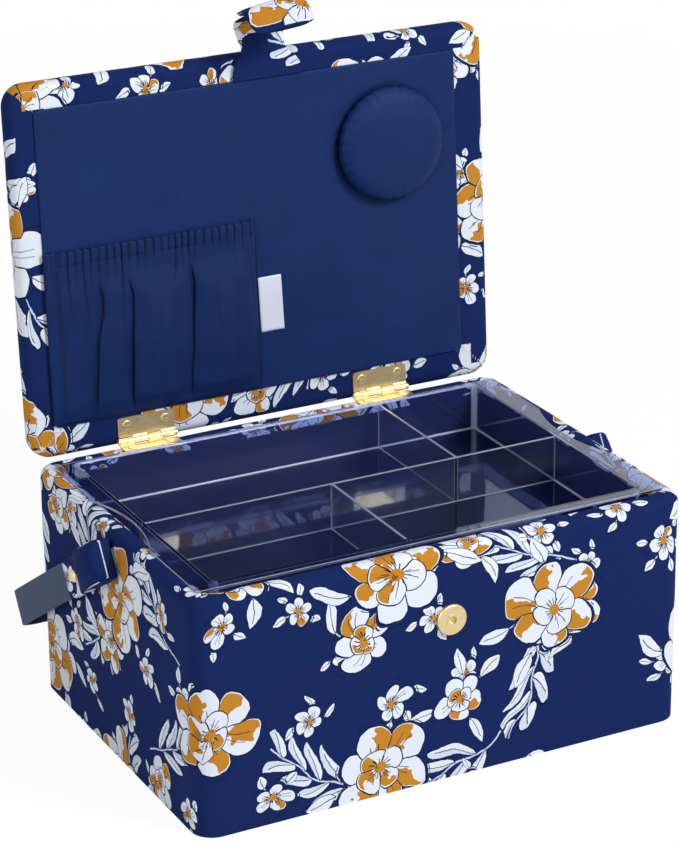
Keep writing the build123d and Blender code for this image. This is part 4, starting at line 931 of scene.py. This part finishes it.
# Tray: the CAD moulding with its sharp edges rounded, as a polished mould leaves them
bm = bmesh.new()
bm.from_mesh(nodes["tray"].data)
bmesh.ops.remove_doubles(bm, verts=bm.verts, dist=1e-6)
bmesh.ops.dissolve_limit(bm, angle_limit=math.radians(1), verts=bm.verts, edges=bm.edges)
sharp = [e for e in bm.edges if e.is_manifold and e.calc_face_angle() > math.radians(50)]
softenEdges(bm, sharp, trayLook["rounding"], 2)
bmesh.ops.triangulate(bm, faces=[f for f in bm.faces if len(f.verts) > 4])
for face in bm.faces:
    # rounded edges and the dividers' top edges take the painted highlight
    middle = face.calc_center_median()
    slanted = max(abs(part) for part in face.normal) < 0.985
    inside = all(abs(at) < half for at, half in zip(middle, trayLook["innerHalf"]))
    topEdge = face.normal.z > 0.9 and middle.z > trayLook["dividerTop"] and inside
    face.material_index = 1 if slanted or topEdge else 0
tray = newPiece("clearTray", bm, styrene, "tray", ["tray"])
tray.data.materials.append(paintedHighlightPlastic)
tray.data.shade_flat()

nodeFinish = {
    board: ["wall_front", "wall_back", "wall_left", "wall_right", "base_board", "lid_board"],
    wadding: ["rim_wadding", "lid_padding"],
    brass: ["front_snap_plate", "front_snap_prongs", "hinge_lower_leaf_left", "hinge_lower_leaf_right",
            "hinge_upper_leaf_left", "hinge_upper_leaf_right", "hinge_pin_left", "hinge_pin_right",
            "hinge_screws_lower", "hinge_screws_upper", "strap_snap_disc", "handle_rivets"],
    steel: ["front_snap_washer", "strap_snap_washer", "handle_pivots", "pivot_washers"],
    ferrite: ["front_snap_magnet"],
}
for material, names in nodeFinish.items():
    for name in names:
        nodes[name].data.materials.clear()
        nodes[name].data.materials.append(material)

# Inner lining: navy cloth on the walls, a little slack, so it falls in soft upright ripples
innerLook = {"width": 0.297, "depth": 0.207, "corner": 0.006, "low": 0.0068, "high": 0.1434, "slack": 0.0004,
             "grid": 0.006}
bm = bmesh.new()
look = innerLook
roundedOutline(bm, look["width"], look["depth"], look["corner"], look["low"])
bmesh.ops.delete(bm, geom=list(bm.faces), context="FACES_ONLY")
drawWall(bm, list(bm.edges), look["high"] - look["low"])
fineGrid(bm, look["grid"])
bmesh.ops.recalc_face_normals(bm, faces=bm.faces)
bmesh.ops.reverse_faces(bm, faces=bm.faces)
bm.normal_update()
for vert in bm.verts:
    ripple = noise.noise((vert.co.x * 60, vert.co.y * 60, vert.co.z * 9)) * (0.4 + vert.co.z / look["high"])
    vert.co += vert.normal * look["slack"] * (ripple + 0.2)
innerLining = newPiece("innerLining", bm, lining, "box", ["inner_lining"])

# Floor pad: lining over card, edges softly rounded
padLook = {"width": 0.2964, "depth": 0.2064, "corner": 0.0057, "low": 0.0068, "thickness": 0.0025,
           "rounding": 0.0009}
bm = bmesh.new()
look = padLook
roundedOutline(bm, look["width"], look["depth"], look["corner"], look["low"], segments=4)
thicken(bm, look["thickness"])
rim = [e for e in bm.edges if min(v.co.z for v in e.verts) > look["low"] + look["thickness"] - 1e-4]
softenEdges(bm, rim, look["rounding"], 3)
bmesh.ops.recalc_face_normals(bm, faces=bm.faces)
pad = newPiece("floorPad", bm, lining, "box", ["floor_pad"])

# Base cloth under the box, just inside the walls' cover
baseLook = {"width": 0.3234, "depth": 0.2334, "corner": 0.0132, "thickness": 0.0008}
bm = bmesh.new()
roundedOutline(bm, baseLook["width"], baseLook["depth"], baseLook["corner"])
thicken(bm, baseLook["thickness"])
bmesh.ops.recalc_face_normals(bm, faces=bm.faces)
baseCloth = newPiece("baseCloth", bm, felt, "box", ["base_cover"])
print("scene: inner lining, floor pad and base cloth ready")

# Closing strap: padded printed cloth, narrow where it leaves the lid, wide at its flap
strapLook = {"x": 0.005, "thickness": 0.0042, "footHeight": 0.0028, "discRoom": 0.0004, "discReach": 0.0115,
             "curl": 0.0020}


def strapSection(bm):
    # a flattened loop 1 m across, padded in the middle and thin at its edges
    ring = []
    for step in range(32):
        angle = 2 * math.pi * step / 32
        x, z = math.cos(angle), math.sin(angle)
        x = math.copysign(abs(x) ** 0.55, x)
        ring.append(bm.verts.new((x / 2, 0, z * strapLook["thickness"] / 2)))
    return [bm.edges.new(pair) for pair in zip(ring, ring[1:] + ring[:1])]


def smoothStations(stations, parts):
    # a soft curve through the stations, by the four nearest
    rows = [(*place, *heading, width, shift, roll) for place, heading, width, shift, roll in stations]
    rows = [rows[0]] + rows + [rows[-1]]
    out = []
    for first, a, b, last in zip(rows, rows[1:], rows[2:], rows[3:]):
        for step in range(parts):
            t = step / parts
            out.append([0.5 * (2 * q + (r - p) * t + (2 * p - 5 * q + 4 * r - s) * t * t
                               + (3 * q - p - 3 * r + s) * t ** 3)
                        for p, q, r, s in zip(first, a, b, last)])
    out.append(list(rows[-1]))
    return out


def sweepStrap(bm, stations):
    # stations: place in (Y, Z), heading, width, sideways shift, roll
    def frameAt(y, z, headY, headZ, width, shift, roll):
        forward = Vector((0, headY, headZ)).normalized()
        across = Vector((1, 0, 0))
        outward = across.cross(forward)
        turn = Matrix.Rotation(roll, 3, forward)
        across, outward = turn @ across, turn @ outward
        columns = Matrix((across, forward, outward)).transposed().to_4x4()
        columns.translation = Vector((strapLook["x"] + shift, y, z))
        return columns

    previous = None
    runLayer = bm.verts.layers.float.new("run")
    run = 0.0
    for station in smoothStations(stations, 5):
        target, width = frameAt(*station), station[4]
        if previous is None:
            edges = first = strapSection(bm)
            verts = list({v for e in edges for v in e.verts})
            bmesh.ops.scale(bm, verts=verts, vec=(width, 1, 1))
            bmesh.ops.transform(bm, matrix=target, verts=verts)
        else:
            made = bmesh.ops.extrude_edge_only(bm, edges=edges)
            verts = newVerts(made)
            edges = [g for g in made["geom"] if isinstance(g, bmesh.types.BMEdge)]
            edges = [e for e in edges if all(v in verts for v in e.verts)]
            resize = Matrix.Diagonal((width / previous[1], 1, 1, 1))
            bmesh.ops.transform(bm, matrix=target @ resize @ previous[0].inverted(), verts=verts)
            run += (target.translation - previous[0].translation).length
            for vert in verts:
                vert[runLayer] = run
        previous = (target, width)
    bmesh.ops.holes_fill(bm, edges=edges, sides=0)
    bmesh.ops.holes_fill(bm, edges=first, sides=0)
    bmesh.ops.recalc_face_normals(bm, faces=bm.faces)


def lidSpot(climb, out):
    spot = lidMatrix @ Vector((0, climb, out))
    return spot.y, spot.z


upLid = (lidMatrix.to_3x3() @ Vector((0, 1, 0))).yz
rootStations = [
    (lidSpot(0.2195, 0.0019), upLid, 0.047, 0.003, 0.0),
    (lidSpot(0.2260, 0.0019), upLid, 0.046, 0.003, 0.0),
    (lidSpot(0.2320, 0.0019), upLid, 0.040, 0.002, 0.0),
    ((0.1290, 0.3835), upLid, 0.033, 0.002, 0.0),
    ((0.1296, 0.3885), (0.10, 1), 0.030, 0.001, 0.03),
    ((0.1306, 0.3938), (0.12, 1), 0.032, 0.000, 0.06),
    ((0.1308, 0.3994), (-0.06, 1), 0.036, 0.000, 0.08),
    ((0.1296, 0.4046), (-0.40, 1), 0.039, 0.000, 0.10),
    ((0.1264, 0.4090), (-0.85, 1), 0.040, 0.000, 0.12),
]
tipStations = [
    ((0.1264, 0.4090), (-0.85, 1), 0.040, 0.000, 0.12),
    ((0.1222, 0.4134), (-1, 0.75), 0.040, 0.000, 0.13),
    ((0.1170, 0.4165), (-1, 0.42), 0.040, 0.000, 0.13),
    ((0.1120, 0.4176), (-1, 0.0), 0.040, 0.000, 0.13),
    ((0.1066, 0.4161), (-1, -0.42), 0.040, 0.000, 0.13),
    ((0.1010, 0.4133), (-1, -0.52), 0.040, 0.000, 0.13),
    ((0.0960, 0.4107), (-1, -0.52), 0.0395, 0.000, 0.13),
    ((0.0930, 0.4092), (-1, -0.52), 0.036, 0.000, 0.13),
    ((0.0917, 0.4085), (-1, -0.52), 0.029, 0.000, 0.13),
]


def layStrapCloth(bm, start):
    # the cloth runs along the strap, with another part of it on the underside
    sheet, runLayer = bm.loops.layers.uv.new("cloth"), bm.verts.layers.float["run"]
    for face in bm.faces:
        under = 0.09 if face.normal.z < 0 and face.normal.y < 0.5 else 0.0
        for loop in face.loops:
            loop[sheet].uv = (loop.vert.co.x + start[0] + under, loop.vert[runLayer] + start[1])


backFromLid = lidMatrix.inverted()
discLow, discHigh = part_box("strap_snap_disc")
# into the strap, across the disc's face
inward = Vector((0, 0.447, -0.894))
strapLengths = {
    "strapRise": (rootStations, (0.61, 0.21), ["strap_base", "strap_root"],
                  ("lid", "strap_root"), ((0.005, 0.1290, 0.3825), (0.005, 0.1298, 0.3900))),
    "strapFlap": (tipStations, (0.5434, 0.1486), ["strap_tip"],
                  ("strap_root", "strap_tip"), ((0.005, 0.1165, 0.4165), (0.005, 0.1065, 0.4165))),
}
for name, (stations, offset, replaced, pair, span) in strapLengths.items():
    bm = bmesh.new()
    sweepStrap(bm, stations)
    layStrapCloth(bm, offset)
    for vert in bm.verts:
        # the sewn foot lies flat on the lid's border
        spot = backFromLid @ vert.co
        if spot.y < 0.2355 and spot.z > strapLook["footHeight"]:
            vert.co = lidMatrix @ Vector((spot.x, spot.y, strapLook["footHeight"]))
        # the free left corner of the flap curls down
        outer = max(0.0, (strapLook["x"] - 0.004 - vert.co.x) / 0.016)
        outer *= min(1.0, max(0.0, (vert.co.z - 0.398) / 0.012))
        vert.co.z -= strapLook["curl"] * outer ** 2
        # round the snap disc the underside stays flat, where it closes onto the front plate
        fromDisc = vert.co - (discLow + discHigh) / 2
        depth = fromDisc.dot(inward)
        spread = (fromDisc - depth * inward).length
        room = strapLook["discRoom"] + 0.6 * max(0.0, spread - strapLook["discReach"])
        if name == "strapFlap" and depth > room:
            vert.co -= (depth - room) * inward
    piece = newPiece(name, bm, printed, replaced=replaced)
    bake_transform(piece, pair[0], pair[1], start=span[0], end=span[1])
print("scene: closing strap ready")

# Handle tabs: printed cloth looped round the pivot and riveted onto the strap
tabLook = {"inner": 0.1638, "loop": 0.0122, "flatLow": 0.16495, "flatHigh": 0.17005, "nose": 0.013,
           "loopEnd": 0.024, "flatStart": 0.042, "end": 0.062, "width": 0.025, "puff": 0.0052,
           "noseRounding": 0.0047, "rimRounding": 0.0022, "thread": 0.00045}
for side, name, node, start in ((-1, "printedTabLeft", "handle_tab_left", (0.4067, 0.5113)),
                                (1, "printedTabRight", "handle_tab_right", (0.6000, 0.6060))):
    bm = bmesh.new()
    look = tabLook
    outer = look["inner"] + look["loop"]
    outline = ((look["inner"], -look["nose"]), (outer, -look["nose"]), (outer, look["loopEnd"]),
               (look["flatHigh"], look["flatStart"]), (look["flatHigh"], look["end"]),
               (look["flatLow"], look["end"]), (look["flatLow"], look["flatStart"]),
               (look["inner"], look["loopEnd"]))
    bm.faces.new([bm.verts.new((x, u, -look["width"] / 2)) for x, u in outline])
    thicken(bm, look["width"])
    upright = [e for e in bm.edges if abs(e.verts[0].co.z - e.verts[1].co.z) > 0.01]
    nose = [e for e in upright if all(v.co.y < -look["nose"] + 1e-5 for v in e.verts)]
    softenEdges(bm, nose, look["noseRounding"], 5)
    softenEdges(bm, levelEdges(bm), look["rimRounding"], 3)
    bmesh.ops.triangulate(bm, faces=[f for f in bm.faces if len(f.verts) > 4])
    long = [e for e in bm.edges if e.calc_length() > 0.006]
    bmesh.ops.subdivide_edges(bm, edges=long, cuts=3, use_grid_fill=True)
    for vert in bm.verts:
        # the loop is puffed out by its turned-in cloth, most at its middle
        if vert.co.y < look["loopEnd"] and vert.co.x > look["inner"] + 0.004:
            share = max(0.0, 1 - ((vert.co.y - 0.004) / 0.022) ** 2) * max(0.0, 1 - (vert.co.z / 0.0135) ** 2)
            vert.co.x += look["puff"] * share
            vert.co.x += 0.0006 * noise.noise(vert.co * 130)
    if side < 0:
        bmesh.ops.scale(bm, verts=bm.verts, vec=(-1, 1, 1))
    bmesh.ops.recalc_face_normals(bm, faces=bm.faces)

    def tabPlace(point, middle):
        across = point.z + (abs(point.x) - look["inner"]) * 0.8 + look["width"] / 2
        return start[0] + point.y + look["nose"], start[1] + across

    layCloth(bm, tabPlace)
    tab = newPiece(name, bm, printed, "handle", [node])
    # cut edge of the cloth along the nose and down both sides, white where the weave is bare
    bm = bmesh.new()
    rim, reach, nose = look["width"] / 2 - 0.0004, outer - 0.0016, -look["nose"] - 0.0002
    down = [(reach, 0.020, rim), (reach + 0.0012, 0.006, rim), (reach + 0.0012, -0.008, rim),
            (reach - 0.0030, nose, rim - 0.0012)]
    route = down + [(reach - 0.0030, nose, 0.0)] + [(x, y, -z) for x, y, z in reversed(down)]
    for a, b in zip(map(Vector, route[:-1]), map(Vector, route[1:])):
        turn = (b - a).to_track_quat("Z", "X").to_matrix().to_4x4()
        turn.translation = (a + b) / 2
        bmesh.ops.create_cone(bm, cap_ends=True, segments=6, radius1=look["thread"], radius2=look["thread"],
                              depth=(b - a).length + 0.0005, matrix=turn)
    if side < 0:
        bmesh.ops.scale(bm, verts=bm.verts, vec=(-1, 1, 1))
        bmesh.ops.recalc_face_normals(bm, faces=bm.faces)
    newPiece(name + "RawEdge", bm, rawEdge, "handle")
print("scene: handle tabs ready")

# Handle strap: leatherette, bowed a little along its arms and bent round at both ends of the grip
gripLook = {"arm": 0.1675, "start": 0.030, "reach": 0.176, "bend": 0.014, "width": 0.023, "thickness": 0.0025,
            "round": 0.0009, "bow": 0.0012}
look = gripLook
straight, turn = look["reach"] - look["bend"], math.pi / 2
half = []
for step in range(14):
    bow = look["bow"] * math.sin(math.pi * step / 14)
    half.append((look["arm"] + bow, look["start"] + (straight - look["start"]) * step / 14))
for step in range(13):
    angle = turn * step / 12
    bent = look["bend"] * (1 - math.cos(angle))
    half.append((look["arm"] - bent, straight + look["bend"] * math.sin(angle)))
half += [((look["arm"] - look["bend"]) * (1 - step / 8), look["reach"]) for step in range(1, 8)]
route = [Vector((x, y, 0)) for x, y in half] + [Vector((0, look["reach"], 0))]
route += [Vector((-x, y, 0)) for x, y in reversed(half)]
thick, wide, corner = look["thickness"] / 2, look["width"] / 2, look["round"]
section = []
for signOut, signUp, begin in ((1, 1, 0), (-1, 1, 90), (-1, -1, 180), (1, -1, 270)):
    angles = [math.radians(begin + 30 * step) for step in range(4)]
    ring = [(signOut * (thick - corner) + corner * math.cos(angle),
             signUp * (wide - corner) + corner * math.sin(angle)) for angle in angles]
    # a point a little in from each corner keeps the broad faces flat
    broad = (signOut * thick, signUp * (wide - corner - 0.0008))
    section += [broad] + ring if signOut * signUp > 0 else ring + [broad]
bm = bmesh.new()
rings = []
for index, place in enumerate(route):
    along = (route[min(index + 1, len(route) - 1)] - route[max(index - 1, 0)]).normalized()
    outward = Vector((along.y, -along.x, 0))
    rings.append([bm.verts.new(place + outward * out + Vector((0, 0, up))) for out, up in section])
for low, high in zip(rings[:-1], rings[1:]):
    for index in range(len(section)):
        bm.faces.new((low[index - 1], low[index], high[index], high[index - 1]))
bm.faces.new(rings[0])
bm.faces.new(rings[-1])
bmesh.ops.recalc_face_normals(bm, faces=bm.faces)
newPiece("leatheretteGrip", bm, vinyl, "handle", ["handle_strap"])
print("scene: handle strap ready")
